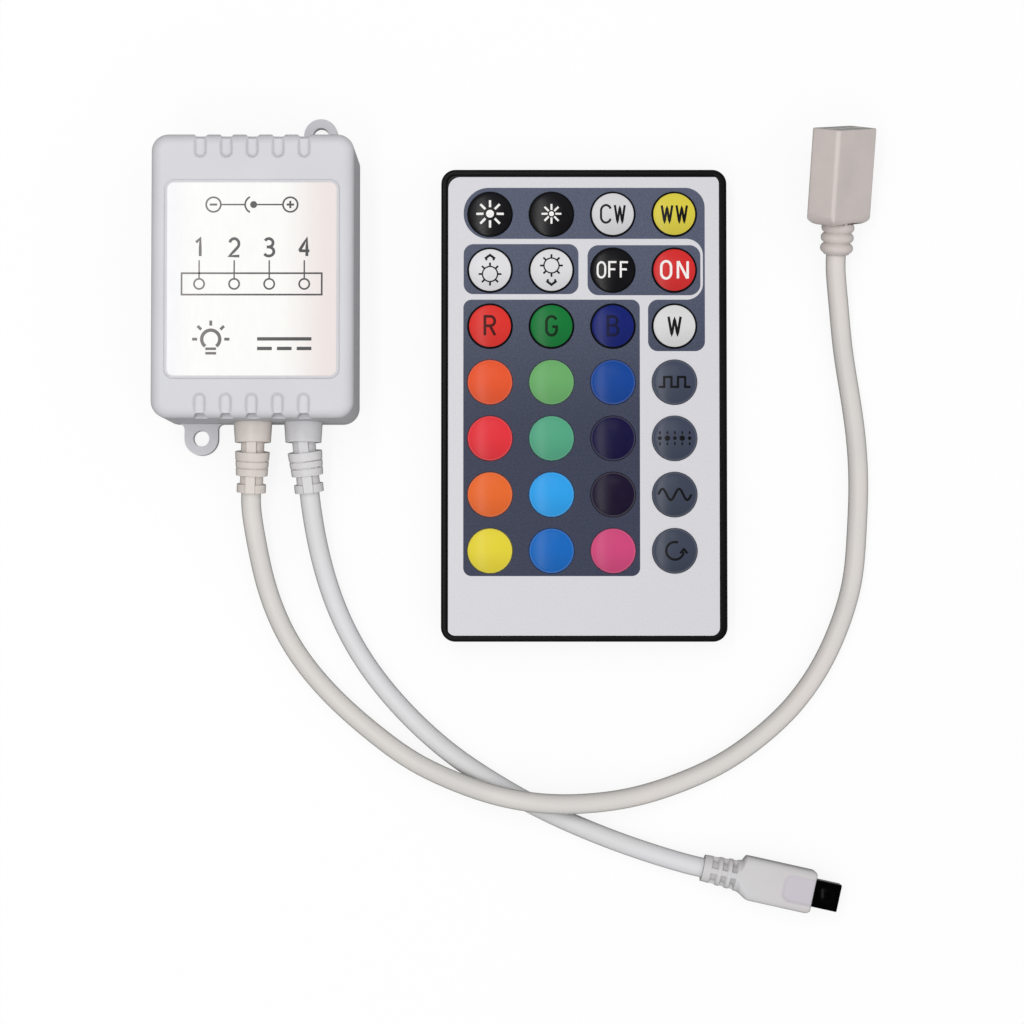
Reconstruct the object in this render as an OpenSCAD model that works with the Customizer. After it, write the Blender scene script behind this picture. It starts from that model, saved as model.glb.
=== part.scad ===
// LED strip controller: a wall box with two leads, and its card remote.
// The frame's origin is the centre of the box's underside. +X runs towards the
// remote, +Y towards the power jack and +Z away from the table.

/* [Case] */
// Width of the case, side to side
case_width = 36; // [35:0.5:44]
// Length of the case, lead end to jack end
case_length = 50.5; // [50:0.5:62]
// Height of the closed case
case_height = 20; // [19:0.5:26]
// Thickness of the case walls
case_wall = 1.8; // [1.4:0.1:2.2]
// Thickness of the case floor
floor_thickness = 1.6; // [1.2:0.1:2]
// Thickness of the cover's roof
roof_thickness = 1.8; // [1.4:0.1:2.2]
// Radius of the case's upright corners
case_corner_radius = 3; // [3:0.25:5]
// Radius of the edge round the cover's top
case_edge_radius = 2; // [0.5:0.25:2.5]
// Height of the line where the cover meets the base
parting_height = 7.5; // [6.5:0.25:7.75]
// Thickness of the cover's tongue inside the base
tongue_thickness = 0.8; // [0.5:0.1:1]
// Depth of the cover's tongue below the parting line
tongue_depth = 1.2; // [0.6:0.2:1.4]

/* [Mounting ears] */
// Radius of an ear's round end
ear_radius = 3.1; // [2.6:0.1:4]
// Distance of an ear's hole from the end wall
ear_reach = 2.65; // [2.4:0.05:5]
// Distance of an ear's hole from the nearer side of the case
ear_inset = 7.1; // [5:0.1:10]
// Thickness of an ear
ear_thickness = 2; // [1.2:0.1:3]
// Radius of an ear's screw hole
ear_hole_radius = 1.45; // [1:0.05:1.8]
// Radius of the fillet between an ear and the wall
ear_fillet = 1; // [0.5:0.1:1.5]

/* [Vents] */
// Number of vent grooves at each end
vent_count = 5; // [3:1:5]
// Distance between vent grooves
vent_pitch = 4.6; // [3.4:0.1:5.4]
// Width of a vent groove
vent_width = 2.3; // [1.4:0.1:2.8]
// Width that each sloping side of a vent groove takes
vent_slope = 0.45; // [0.2:0.05:0.6]
// Length of a vent groove on the cover's face
vent_run = 4.4; // [4:0.2:5.6]
// Depth of a vent groove
vent_depth = 0.8; // [0.4:0.1:1]
// Drop of a vent groove down the end wall
vent_drop = 3.6; // [2.6:0.1:4]
// Width of the air slot inside a vent groove
vent_slot_width = 1.4; // [0.8:0.1:1.4]

/* [Label] */
// Border between the label and the sides of the case
label_side_border = 3; // [2.8:0.1:6]
// Border between the label and the ends of the case, without its shift
label_end_border = 8.1; // [7.8:0.1:11]
// Thickness of the label
label_thickness = 0.15; // [0.1:0.05:0.3]
// Radius of the label's corners
label_corner_radius = 1.2; // [0.5:0.1:3]
// Shift of the label towards the lead end
label_shift = 0.7; // [0:0.1:1]
// Margin of the recess round the label
label_margin = 0.5; // [0.2:0.1:0.8]
// Depth of the recess that the label sits in
label_recess = 0.4; // [0.3:0.1:0.8]

/* [Case screws] */
// Distance of a case screw from the inside of the side wall
boss_side_inset = 4.2; // [3.9:0.1:4.8]
// Distance of a case screw from the inside of the end wall
boss_end_inset = 7.95; // [7.45:0.05:8.45]
// Radius of a screw boss
boss_radius = 2.3; // [1.9:0.1:2.4]
// Radius of the shoulder that the board rests on
shoulder_radius = 2.9; // [2.7:0.1:3.2]
// Radius of a screw's shank
screw_radius = 1.1; // [0.8:0.05:1.2]
// Length of a screw below its head
screw_length = 11.5; // [9:0.5:13]
// Radius of a screw's head
head_radius = 2; // [1.7:0.1:2.2]
// Height of a screw's head
head_height = 1.3; // [1:0.1:1.4]
// Depth of a screw's head below the underside
head_sink = 0.3; // [0.2:0.1:0.5]

/* [Circuit board] */
// Thickness of the circuit board
board_thickness = 1.6; // [1.2:0.2:1.6]
// Height of the standoffs under the board
standoff_height = 1.8; // [1.5:0.1:2.2]
// Gap between the board's long edges and the case walls
board_side_gap = 0.7; // [0.4:0.1:1]
// Gap between the board and the jack-end wall
board_jack_gap = 0.85; // [0.4:0.05:1.2]
// Gap between the board and the lead-end wall
board_lead_gap = 2.55; // [2.3:0.05:3]
// Radius of the smoothing capacitor
capacitor_radius = 3.15; // [2.5:0.05:3.5]
// Height of the smoothing capacitor
capacitor_height = 8; // [6:0.5:11]

/* [Power jack] */
// Width of the jack's body
jack_width = 9; // [8:0.5:10]
// Height of the jack's body
jack_height = 11; // [10:0.25:11.5]
// Length of the jack's body
jack_length = 14.2; // [12.5:0.1:15]
// Height of the socket's axis above the board
jack_axis_height = 6.5; // [6.5:0.1:7]
// Radius of the jack's socket
socket_radius = 3; // [2.8:0.05:3.2]
// Depth of the jack's socket
socket_depth = 9.5; // [8:0.5:11]
// Radius of the jack's centre pin
pin_radius = 1; // [0.8:0.05:1.25]
// Depth of the jack's wider mouth, in front of the pin
mouth_depth = 1.8; // [1.2:0.1:2.4]
// Distance of the pin's tip behind the jack's mouth
pin_setback = 0.2; // [0.2:0.1:1.5]
// Radius of the plug hole in the cover's end wall
plug_hole_radius = 3.5; // [3.35:0.05:3.5]

/* [Strain reliefs on the case] */
// Distance of the output gland from the middle line
output_gland_x = -0.9; // [-2.5:0.1:-0.6]
// Distance of the sensor gland from the middle line
sensor_gland_x = 8.25; // [7.9:0.05:9]
// Radius of a gland's neck in the wall
neck_radius = 2.75; // [2.4:0.05:3]
// Radius of a gland where it meets the wall
gland_base_radius = 3.5; // [3.3:0.05:3.8]
// Radius of a gland's tip
gland_tip_radius = 2.65; // [2.5:0.05:2.9]
// Radius of a gland's core between its rings
gland_core_radius = 2.1; // [1.9:0.05:2.3]
// Length of a gland outside the wall
gland_length = 12.8; // [11:0.2:15]
// Width of the square flange inside the wall
flange_width = 7.8; // [7:0.1:8.2]
// Thickness of the flange inside the wall
flange_thickness = 1.2; // [0.8:0.1:1.4]
// Sideways lean of the output gland, in degrees
output_lean = -2.5; // [-6:0.5:0]
// Sideways lean of the sensor gland, in degrees
sensor_lean = 6; // [0:0.5:8]
// Droop of both glands towards the table, in degrees
gland_droop = 8; // [0:1:12]

/* [Leads] */
// Diameter of the output lead
output_lead_diameter = 3.6; // [3:0.1:4]
// Diameter of the sensor lead
sensor_lead_diameter = 3.6; // [3:0.1:4]
// Radius of an inner wire
wire_radius = 0.5; // [0.35:0.05:0.6]
// Distance between the inner wires
wire_pitch = 1.5; // [1.3:0.05:1.6]

/* [Output connector] */
// Width of the connector
connector_width = 12; // [11:0.25:14]
// Thickness of the connector
connector_thickness = 6.2; // [5:0.1:7]
// Length of the connector's block
connector_length = 17.4; // [13:0.2:20]
// Radius of the connector's long edges
connector_edge_radius = 0.8; // [0.4:0.1:1.2]
// Radius of the connector's corners at the lead end
connector_corner_radius = 2.2; // [1.2:0.1:2.6]
// Radius of the connector's long edges at the lead end
connector_end_radius = 1.5; // [0.8:0.1:2]
// Distance between the contacts
contact_pitch = 2.54; // [2:0.02:2.6]
// Radius of a contact's tube
contact_radius = 0.75; // [0.6:0.05:0.9]
// Length of a contact
contact_length = 9; // [6:0.5:11]
// Roll of the connector about its length, in degrees
connector_roll = 48; // [0:1:60]
// Tilt of the connector's open end above the table, in degrees
connector_tilt = 15; // [0:1:20]
// Turn of the connector away from +Y, in degrees
connector_turn = 2.5; // [0:0.5:10]

/* [Sensor head] */
// Width of the grip
grip_width = 7.9; // [6.5:0.1:9]
// Thickness of the grip
grip_thickness = 5.6; // [4.8:0.1:6.4]
// Length of the grip without its ribbed relief
grip_length = 14.4; // [13:0.1:20]
// Length of the ribbed relief behind the grip
grip_relief_length = 6.1; // [5:0.1:8]
// Depth of the thumb recess
thumb_depth = 0.45; // [0.2:0.05:0.6]
// Width of the black sensor block
eye_width = 5; // [4:0.1:5.6]
// Thickness of the black sensor block
eye_thickness = 3.4; // [2.6:0.1:3.8]
// Length of the sensor block that stands out of the grip
eye_reach = 4.8; // [3:0.1:6]
// Radius of the lens on the sensor block
eye_lens_radius = 1.5; // [1:0.1:1.7]

/* [Remote] */
// Width of the remote
remote_width = 52; // [51:0.5:58]
// Length of the remote
remote_length = 86; // [85:0.5:96]
// Height of the remote's rim
remote_height = 6.5; // [6.5:0.1:8]
// Radius of the remote's upright corners
remote_corner_radius = 2.6; // [2:0.1:5]
// Radius of the rim's outer edge
remote_edge_radius = 0.5; // [0.2:0.1:0.8]
// Width of the rim at the left
rim_left = 1.1; // [0.8:0.05:1.5]
// Width of the rim at the right
rim_right = 1.4; // [0.8:0.05:1.5]
// Width of the rim at both ends
rim_end = 1.1; // [0.8:0.05:1.5]
// Thickness of the remote's side walls
remote_wall = 2; // [1.8:0.1:2.2]
// Thickness of the remote's floor
remote_floor = 1; // [0.8:0.1:1.2]
// Thickness of the overlay
overlay_thickness = 0.3; // [0.2:0.05:0.4]
// Depth of the overlay below the rim
overlay_sink = 0.1; // [0.05:0.05:0.2]
// Thickness of the keypad board
keypad_thickness = 0.6; // [0.4:0.1:0.8]

/* [Keys] */
// Distance of the first key column from the remote's left side
keys_left = 8.9; // [8.5:0.05:9.6]
// Distance of the last key column from the remote's right side
keys_right = 9.56; // [8.5:0.02:10]
// Distance of the first key row from the remote's far end
keys_far = 8.2; // [8:0.1:9]
// Distance of the last key row from the remote's tray end
keys_near = 16.48; // [14:0.02:18]
// Gap between the rings of neighbouring keys
key_web = 1.12; // [0.9:0.02:2]
// Height of a key's crown above the overlay
key_crown = 0.7; // [0.4:0.05:1]
// Travel of a key
key_travel = 0.3; // [0.2:0.02:0.34]
// Width of the ring that holds a key under the overlay
key_flange = 0.5; // [0.3:0.05:0.6]

/* [Battery tray] */
// Radius of the coin cell
cell_radius = 10; // [8:0.5:10]
// Thickness of the coin cell
cell_thickness = 2.5; // [1.6:0.1:2.5]
// Thickness of the tray's floor
tray_floor = 0.4; // [0.3:0.05:0.5]
// Width of the tray's walls beside the cell
tray_wall = 1.8; // [1.4:0.1:2.4]
// Depth of the tray's front
tray_front = 2.4; // [2:0.1:3]
// Radius of the infrared LED
led_radius = 1.5; // [1:0.1:1.5]
// Length of the infrared LED
led_length = 5; // [4:0.2:8]

/* [Hidden] */
$fn = 48;
key_names = [
    ["key_bright_full", "key_bright_half", "key_cool_white", "key_warm_white"],
    ["key_brighter", "key_dimmer", "key_off", "key_on"],
    ["key_red", "key_green", "key_blue", "key_white"],
    ["key_orange_red", "key_light_green", "key_mid_blue", "key_mode_one"],
    ["key_rose_red", "key_sea_green", "key_navy", "key_mode_two"],
    ["key_orange", "key_sky_blue", "key_purple", "key_mode_three"],
    ["key_yellow", "key_azure", "key_pink", "key_mode_four"]
];
key_colours = [
    ["#26272b", "#26272b", "#e9e9ea", "#f2e03a"],
    ["#f2f2f0", "#f2f2f0", "#26272b", "#e8262a"],
    ["#ee3a38", "#1c8a44", "#26309a", "#f2f2ee"],
    ["#f36a32", "#6fbf6c", "#1f5fc8", "#5b6575"],
    ["#f2353f", "#4fb381", "#221b52", "#5b6575"],
    ["#f27a2a", "#33a8f4", "#231536", "#5b6575"],
    ["#efe03a", "#1f74d0", "#e8488f", "#5b6575"]
];

// Clearances and the overrun of every cut
overrun = 0.5;
seat_gap = 0.05;
slide_gap = 0.12;
hole_gap = 0.2;
key_gap = 0.1;
table_gap = 0.05;

// Case, from its floor up
inner_width = case_width - 2 * case_wall;
inner_length = case_length - 2 * case_wall;
inner_radius = case_corner_radius - case_wall;
inner_end = inner_length / 2;
case_end = case_length / 2;
cavity_top = case_height - roof_thickness;
board_bottom = floor_thickness + standoff_height;
board_top = board_bottom + board_thickness;
board_width = inner_width - 2 * board_side_gap;
board_length = inner_length - board_jack_gap - board_lead_gap;
board_y = (board_lead_gap - board_jack_gap) / 2;
boss_x = inner_width / 2 - boss_side_inset;
boss_y = inner_end - boss_end_inset;
screw_places = [[-boss_x, boss_y], [boss_x, -boss_y]];
pilot_depth = screw_length + head_height + head_sink - parting_height + hole_gap;
label_width = case_width - 2 * label_side_border;
label_length = case_length - 2 * label_end_border;
label_z = case_height - label_recess;
ear_offset = case_width / 2 - ear_inset;
standoff_inset = 2.2;
standoff_radius = 1.3;

// Pieces on the board: their sizes, and their places as shares of its width and length
transistor_width = 6.2;
transistor_length = 5.4;
transistor_height = 2.3;
transistor_place_shares = [[-0.25, -0.22], [0, -0.22], [0.25, -0.22]];
regulator_width = 4;
regulator_length = 2.7;
regulator_height = 1.5;
regulator_place_shares = [-0.28, 0.1];
leg_width_share = 0.11;
leg_length_share = 0.4;
tab_width_share = 0.8;
tab_length_share = 0.25;
tab_sheet_share = 0.22;
chip_width = 3.9;
chip_height = 1.5;
chip_foot_share = 0.22;
chip_sheet_share = 0.14;
chip_leg_share = 0.36;
long_chip_length = 9.9;
long_chip_legs = 8;
short_chip_length = 4.9;
short_chip_legs = 4;
micro_place_shares = [0, -0.02];
memory_place_shares = [0.3, 0.1];
capacitor_place_shares = [0.34, 0.33];
capacitor_groove_share = 0.08;

// Jack
jack_face = inner_end - seat_gap;
jack_axis_z = board_top + jack_axis_height;
mouth_step = 0.25;
mouth_radius = socket_radius + mouth_step;
mouth_chamfer = 0.25;
spring_width = 1.8;
spring_thickness = 0.3;
spring_length = 6;
solder_pin_width = 1;

// Glands: each length along the axis is a share of the gland's length
pivot_share = 0.24;
base_share = 0.29;
ring_start_share = 0.42;
ring_end_share = 0.76;
tip_start_share = 0.88;
band_start_share = 0.55;
band_end_share = 0.65;
rib_share = 0.42;
groove_depth = 0.15;
groove_width = 0.2;
pivot = gland_length * pivot_share;
wire_bend = 1.2;
wire_run = 2.4;
output_wire_count = 4;
sensor_wire_count = 3;

// Connector: its lead end is placed on the table by its rolled section
connector_x = 105.5;
connector_y = 11;
connector_z = ((connector_width / 2 - connector_edge_radius) * sin(connector_roll)
    + (connector_thickness / 2 - connector_edge_radius) * cos(connector_roll))
    * cos(connector_tilt) + connector_edge_radius + table_gap;
relief_length = 5.3;
relief_core_radius = 2.3;
relief_ring_radius = 0.95;
relief_ring_reach = 2.05;
relief_ring_shares = [0.12, 0.46, 0.82];
contact_setback = 0.3;
contact_count = 4;

// Sensor head: its relief starts here and it points down the table
head_x = 80.7;
head_y = -106.15;
head_turn = -12.5;
head_z = grip_thickness / 2 + table_gap;
grip_relief_core = 1.9;
grip_relief_rings = 3;
grip_ring_length = 1.2;
grip_rib_width = 1.1;
grip_relief_radii = [2.4, 2.85];
eye_bury = 2;
eye_edge = 0.25;
lens_height = 0.35;
thumb_width_share = 0.65;
thumb_length_share = 0.43;
thumb_corner_share = 0.27;
// Each station of the grip: share of its length, shares of its half width and half thickness,
// and how square its section is
grip_station_shares = [
    [0, 0.7, 0.78, 2.4], [0.06, 0.8, 0.9, 2.8], [0.14, 0.93, 0.98, 3.6], [0.22, 1, 1, 4.4],
    [0.6, 1, 1, 5], [0.93, 0.99, 1, 5], [0.98, 0.95, 0.96, 5], [1, 0.88, 0.88, 5]
];
grip_sides = 32;

// Remote: its centre on the table, and its layers from the floor up
remote_x = 59.15;
remote_y = -22.05;
tray_gap = 0.1;
tray_thickness = tray_floor + cell_thickness + tray_gap;
tray_bottom = remote_floor + tray_gap;
keypad_bottom = tray_bottom + tray_thickness + hole_gap;
keypad_top = keypad_bottom + keypad_thickness;
overlay_top = remote_height - overlay_sink;
overlay_bottom = overlay_top - overlay_thickness;
remote_inner_width = remote_width - 2 * remote_wall;
remote_inner_length = remote_length - 2 * remote_wall;
overlay_width = remote_width - rim_left - rim_right;
overlay_length = remote_length - 2 * rim_end;
overlay_x = (rim_left - rim_right) / 2;
overlay_radius = remote_corner_radius - rim_end;
key_rows = len(key_names);
key_columns = len(key_names[0]);
key_pitch_x = (remote_width - keys_left - keys_right) / (key_columns - 1);
key_pitch_y = (remote_length - keys_far - keys_near) / (key_rows - 1);
key_radius = (min(key_pitch_x, key_pitch_y) - key_web) / 2 - key_flange;
key_shoulder_share = 0.25;
key_ring_top = overlay_bottom - seat_gap;
key_ring_thickness = 0.35;
key_ring_bottom = key_ring_top - key_ring_thickness;
contact_dome_radius = 2.5;
contact_dome_top_radius = 1;
contact_dome_height = 0.25;
key_stem_radius = 1.2;
key_stem_bottom = keypad_top + contact_dome_height + key_travel + seat_gap;
tray_width = 2 * (cell_radius + hole_gap + tray_wall);
tray_length = tray_front + 2 * (cell_radius + hole_gap) + tray_wall;
cell_y = -remote_length / 2 + tray_front + cell_radius + hole_gap;
rail_width = 1.2;
post_radius = 1.5;
led_axis_z = remote_floor + led_radius + hole_gap;
leg_width = 0.4;
leaf_thickness = 0.2;
leaf_width = 3;
leaf_length = 6;
cell_slot_width = 7;
grip_notch_width = 10;
grip_notch_depth = 0.6;

// Routes of the leads on the table, from the box outwards
output_route = [
    [-0.5, -47, 4.6], [1, -55, 2.9], [4, -63, 1.9], [8.5, -70, 1.85], [14.5, -76.5, 1.85],
    [21, -82, 1.85], [27.7, -87, 2.3], [35.3, -90.4, 4], [43, -93, 5.9], [51.5, -94.5, 6.2],
    [60, -94.5, 5], [68.5, -93.5, 2.8], [76.5, -91, 1.9], [84.5, -87.5, 1.85],
    [91.5, -82.5, 1.85], [97.5, -77, 1.85], [102.5, -70, 1.85], [106, -62.5, 1.85],
    [108.65, -54, 1.85], [109.15, -45.5, 1.85], [109.65, -37, 1.85], [109.3, -28.5, 1.85],
    [108.1, -20, 1.85], [106.65, -11.5, 1.9], [106, -3.5, 2.45]
];
sensor_route = [
    [10.5, -47, 4.6], [12.3, -54.6, 2.9], [15.2, -62.2, 1.9], [19.2, -69.2, 1.85],
    [24.3, -75.7, 1.85], [30, -81.5, 1.85], [36, -86.5, 1.85], [43, -91, 1.85],
    [50, -95, 1.85], [57.5, -98.5, 1.85], [65, -101.5, 1.85], [72, -103.85, 2.1]
];
straight_run = 3;
cord_sides = 8;
rings_per_step = 2;

// Unit vector of a direction that leans by turn from -Y and sinks by droop
function sunk_direction(turn, droop) =
    [sin(turn) * cos(droop), -cos(turn) * cos(droop), -sin(droop)];
function gland_tip(x, turn) =
    [x, -case_end - pivot, parting_height]
    + (gland_length - pivot) * sunk_direction(turn, gland_droop);
connector_direction = [
    sin(connector_turn) * cos(connector_tilt),
    cos(connector_turn) * cos(connector_tilt),
    sin(connector_tilt)
];
connector_start = [connector_x, connector_y, connector_z];
relief_tip = connector_start - relief_length * connector_direction;
head_direction = [cos(head_turn), sin(head_turn), 0];
head_start = [head_x, head_y, head_z];

output_points = concat(
    [gland_tip(output_gland_x, output_lean)],
    [gland_tip(output_gland_x, output_lean)
        + straight_run * sunk_direction(output_lean, gland_droop)],
    output_route,
    [relief_tip - straight_run * connector_direction, relief_tip]
);
sensor_points = concat(
    [gland_tip(sensor_gland_x, sensor_lean)],
    [gland_tip(sensor_gland_x, sensor_lean)
        + straight_run * sunk_direction(sensor_lean, gland_droop)],
    sensor_route,
    [head_start - straight_run * head_direction, head_start]
);

// Smooth curve: a uniform cubic through the ends and near the points between them
function padded(p) = concat(
    [2 * p[0] - p[1]], p, [2 * p[len(p) - 1] - p[len(p) - 2]]
);
function curve_point(q, i, t) = (
    pow(1 - t, 3) * q[i]
    + (3 * pow(t, 3) - 6 * pow(t, 2) + 4) * q[i + 1]
    + (3 * t + 3 * pow(t, 2) - 3 * pow(t, 3) + 1) * q[i + 2]
    + pow(t, 3) * q[i + 3]) / 6;
function curve_slope(q, i, t) = (
    -pow(1 - t, 2) * q[i]
    + (3 * pow(t, 2) - 4 * t) * q[i + 1]
    + (1 + 2 * t - 3 * pow(t, 2)) * q[i + 2]
    + pow(t, 2) * q[i + 3]) / 2;
function ring_steps(p) = (len(p) - 1) * rings_per_step;
function step_index(p, k) = min(floor(k / rings_per_step), len(p) - 2);
function unit(v) = v / norm(v);
function ring(centre, slope, radius) =
    let (side = unit(cross(slope, [0, 0, 1])), top = cross(side, unit(slope)))
    [for (a = [0:cord_sides - 1])
        centre + radius * (cos(360 * (a + 1 / 2) / cord_sides) * side
            + sin(360 * (a + 1 / 2) / cord_sides) * top)];

// Faces of a stack of rings with n points each, closed at both ends
function stack_faces(rings, n) = concat(
    [for (r = [0:rings - 2], a = [0:n - 1])
        each [[r * n + a, r * n + (a + 1) % n, (r + 1) * n + a],
            [r * n + (a + 1) % n, (r + 1) * n + (a + 1) % n, (r + 1) * n + a]]],
    [for (a = [1:n - 2]) [0, a + 1, a]],
    [for (a = [1:n - 2]) [(rings - 1) * n, (rings - 1) * n + a, (rings - 1) * n + a + 1]]
);

module cord(points, diameter) {
    q = padded(points);
    steps = ring_steps(points);
    rings = [for (k = [0:steps])
        let (i = step_index(points, k), t = k / rings_per_step - i)
        ring(curve_point(q, i, t), curve_slope(q, i, t), diameter / 2)];
    polyhedron(points = [for (r = rings) each r], faces = stack_faces(len(rings), cord_sides));
}

// Flat shape with round corners
module rounded_outline(width, length, radius) {
    square([width - 2 * radius, length], center = true);
    square([width, length - 2 * radius], center = true);
    for (sx = [-1, 1], sy = [-1, 1])
        translate([sx * (width / 2 - radius), sy * (length / 2 - radius)])
            circle(radius);
}

// Side view of a block whose two top edges are round
module crowned_outline(width, height, edge) {
    translate([-width / 2, 0]) square([width, height - edge]);
    translate([edge - width / 2, 0]) square([width - 2 * edge, height]);
    intersection() {
        for (side = [-1, 1])
            translate([side * (width / 2 - edge), height - edge]) circle(edge);
        translate([-width / 2, 0]) square([width, height]);
    }
}

// Half of a crowned outline, for the round corners
module crowned_half(reach, height, edge) {
    square([reach, height - edge]);
    square([reach - edge, height]);
    intersection() {
        translate([reach - edge, height - edge]) circle(edge);
        square([reach, height]);
    }
}

// Block with round upright corners and a round edge about its top
module crowned_block(width, length, height, corner, edge) {
    rotate([90, 0, 90])
        linear_extrude(width - 2 * corner, center = true)
            crowned_outline(length, height, edge);
    rotate([90, 0, 0])
        linear_extrude(length - 2 * corner, center = true)
            crowned_outline(width, height, edge);
    for (sx = [-1, 1], sy = [-1, 1])
        translate([sx * (width / 2 - corner), sy * (length / 2 - corner), 0])
            rotate_extrude() crowned_half(corner, height, edge);
}

// Round hole along Y through an end wall, centred at x and z
module wall_bore(x, z, radius, end) {
    translate([x, end * (case_end + inner_end) / 2, z])
        rotate([90, 0, 0])
            cylinder(r = radius, h = case_wall + 2 * overrun, center = true);
}

module gland_slots() {
    for (x = [output_gland_x, sensor_gland_x])
        wall_bore(x, parting_height, neck_radius + seat_gap, -1);
}

// Ear in plan, with its root on the X axis
module ear_outline() {
    root = ear_radius + ear_fillet;
    difference() {
        union() {
            translate([-root, -overrun]) square([2 * root, ear_fillet + overrun]);
            translate([-ear_radius, -overrun]) square([2 * ear_radius, ear_reach + overrun]);
            translate([0, ear_reach]) circle(ear_radius);
        }
        for (side = [-1, 1])
            translate([side * root, ear_fillet]) circle(ear_fillet);
    }
}

module ear(end) {
    rotate([0, 0, end > 0 ? 0 : 180])
        translate([ear_offset, case_end, 0])
            difference() {
                linear_extrude(ear_thickness) ear_outline();
                translate([0, ear_reach, -overrun])
                    cylinder(r = ear_hole_radius, h = ear_thickness + 2 * overrun);
                translate([0, -case_wall / 2 - overrun, 0])
                    cube([4 * ear_radius, case_wall, 2 * ear_thickness + overrun], center = true);
            }
}

module base_shell() {
    color("#d5d5da") difference() {
        union() {
            difference() {
                linear_extrude(parting_height)
                    rounded_outline(case_width, case_length, case_corner_radius);
                translate([0, 0, floor_thickness])
                    linear_extrude(parting_height)
                        rounded_outline(inner_width, inner_length, inner_radius);
            }
            ear(1);
            ear(-1);
            for (place = screw_places) translate(place) {
                cylinder(r = shoulder_radius, h = board_bottom);
                cylinder(r = boss_radius, h = parting_height);
            }
            for (place = screw_places)
                translate([-sign(place[0]) * (board_width / 2 - standoff_inset), place[1], 0])
                    cylinder(r = standoff_radius, h = board_bottom);
        }
        gland_slots();
        for (place = screw_places) translate([place[0], place[1], -overrun]) {
            cylinder(r = screw_radius + hole_gap, h = parting_height + 2 * overrun);
            cylinder(r = head_radius + slide_gap, h = head_height + head_sink + overrun);
        }
    }
}

// One vent: a groove with sloping sides over the face and down the wall, and the air
// slot in it
module vent() {
    slot_bottom = case_height - vent_drop;
    floor_half = vent_width / 2 - vent_slope;
    rise = vent_depth + overrun;
    mouth_half = floor_half + vent_slope * rise / vent_depth;
    section = [[-floor_half, 0], [floor_half, 0], [mouth_half, rise], [-mouth_half, rise]];
    translate([0, case_end - vent_run + vent_width / 2, case_height - vent_depth]) {
        cylinder(r1 = floor_half, r2 = mouth_half, h = rise);
        rotate([90, 0, 180]) linear_extrude(vent_run) polygon(section);
    }
    translate([0, case_end - vent_depth, slot_bottom])
        linear_extrude(vent_drop + overrun) polygon(section);
    translate([-vent_slot_width / 2, inner_end - overrun, slot_bottom])
        cube([vent_slot_width, case_wall + 2 * overrun, cavity_top - slot_bottom]);
}

module vents() {
    for (turn = [0, 180], i = [0:vent_count - 1])
        rotate([0, 0, turn])
            translate([(i - (vent_count - 1) / 2) * vent_pitch, 0, 0]) vent();
}

// Ring inside the case wall, as wide as tongue_thickness
module tongue_ring(height, gap) {
    linear_extrude(height) difference() {
        rounded_outline(inner_width - 2 * gap, inner_length - 2 * gap, inner_radius - gap);
        rounded_outline(inner_width - 2 * slide_gap - 2 * tongue_thickness,
            inner_length - 2 * slide_gap - 2 * tongue_thickness,
            inner_radius - tongue_thickness);
    }
}

// Tongue that locates the cover in the base, open at the glands and the jack
module cover_tongue() {
    difference() {
        union() {
            translate([0, 0, parting_height - tongue_depth])
                tongue_ring(tongue_depth + tongue_thickness, slide_gap);
            translate([0, 0, parting_height]) tongue_ring(tongue_thickness, 0);
        }
        for (x = [output_gland_x, sensor_gland_x])
            translate([x, -inner_end, parting_height])
                cube([flange_width + 2 * hole_gap, 2 * (flange_thickness + hole_gap),
                    flange_width + 2 * hole_gap], center = true);
        translate([0, jack_face, jack_axis_z])
            cube([jack_width + 2 * hole_gap, 2 * jack_length, 2 * jack_axis_height],
                center = true);
    }
}

module top_cover() {
    height = case_height - parting_height;
    color("#dcdce2") {
        difference() {
            translate([0, 0, parting_height])
                crowned_block(case_width, case_length, height, case_corner_radius,
                    case_edge_radius);
            translate([0, 0, parting_height - overrun])
                linear_extrude(cavity_top - parting_height + overrun)
                    rounded_outline(inner_width, inner_length, inner_radius);
            translate([0, -label_shift, label_z])
                linear_extrude(label_recess + overrun)
                    rounded_outline(label_width + 2 * label_margin,
                        label_length + 2 * label_margin, label_corner_radius + label_margin);
            vents();
            gland_slots();
            wall_bore(0, jack_axis_z, plug_hole_radius, 1);
        }
        for (place = screw_places) translate([place[0], place[1], parting_height])
            difference() {
                cylinder(r = boss_radius, h = cavity_top - parting_height);
                translate([0, 0, -overrun])
                    cylinder(r = screw_radius + seat_gap, h = pilot_depth + overrun);
            }
        cover_tongue();
    }
}

module label() {
    color("#f1efec")
        translate([0, -label_shift, label_z])
            linear_extrude(label_thickness)
                rounded_outline(label_width, label_length, label_corner_radius);
}

// Screw pointing up, with a cross slot in its head
module screw() {
    slot_width = head_radius / 4;
    difference() {
        union() {
            translate([0, 0, head_sink]) cylinder(r = head_radius, h = head_height);
            translate([0, 0, head_sink + head_height])
                cylinder(r = screw_radius, h = screw_length);
        }
        for (turn = [0, 90])
            rotate([0, 0, turn])
                translate([0, 0, head_sink])
                    cube([head_radius, slot_width, head_height], center = true);
    }
}

module cover_screws() {
    color("silver") for (place = screw_places) translate(place) screw();
}

module circuit_board() {
    color("#2f6b46") difference() {
        translate([-board_width / 2, board_y - board_length / 2, board_bottom])
            cube([board_width, board_length, board_thickness]);
        for (place = screw_places)
            translate([place[0], place[1], board_bottom - overrun])
                cylinder(r = boss_radius + hole_gap, h = board_thickness + 2 * overrun);
    }
}

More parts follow.
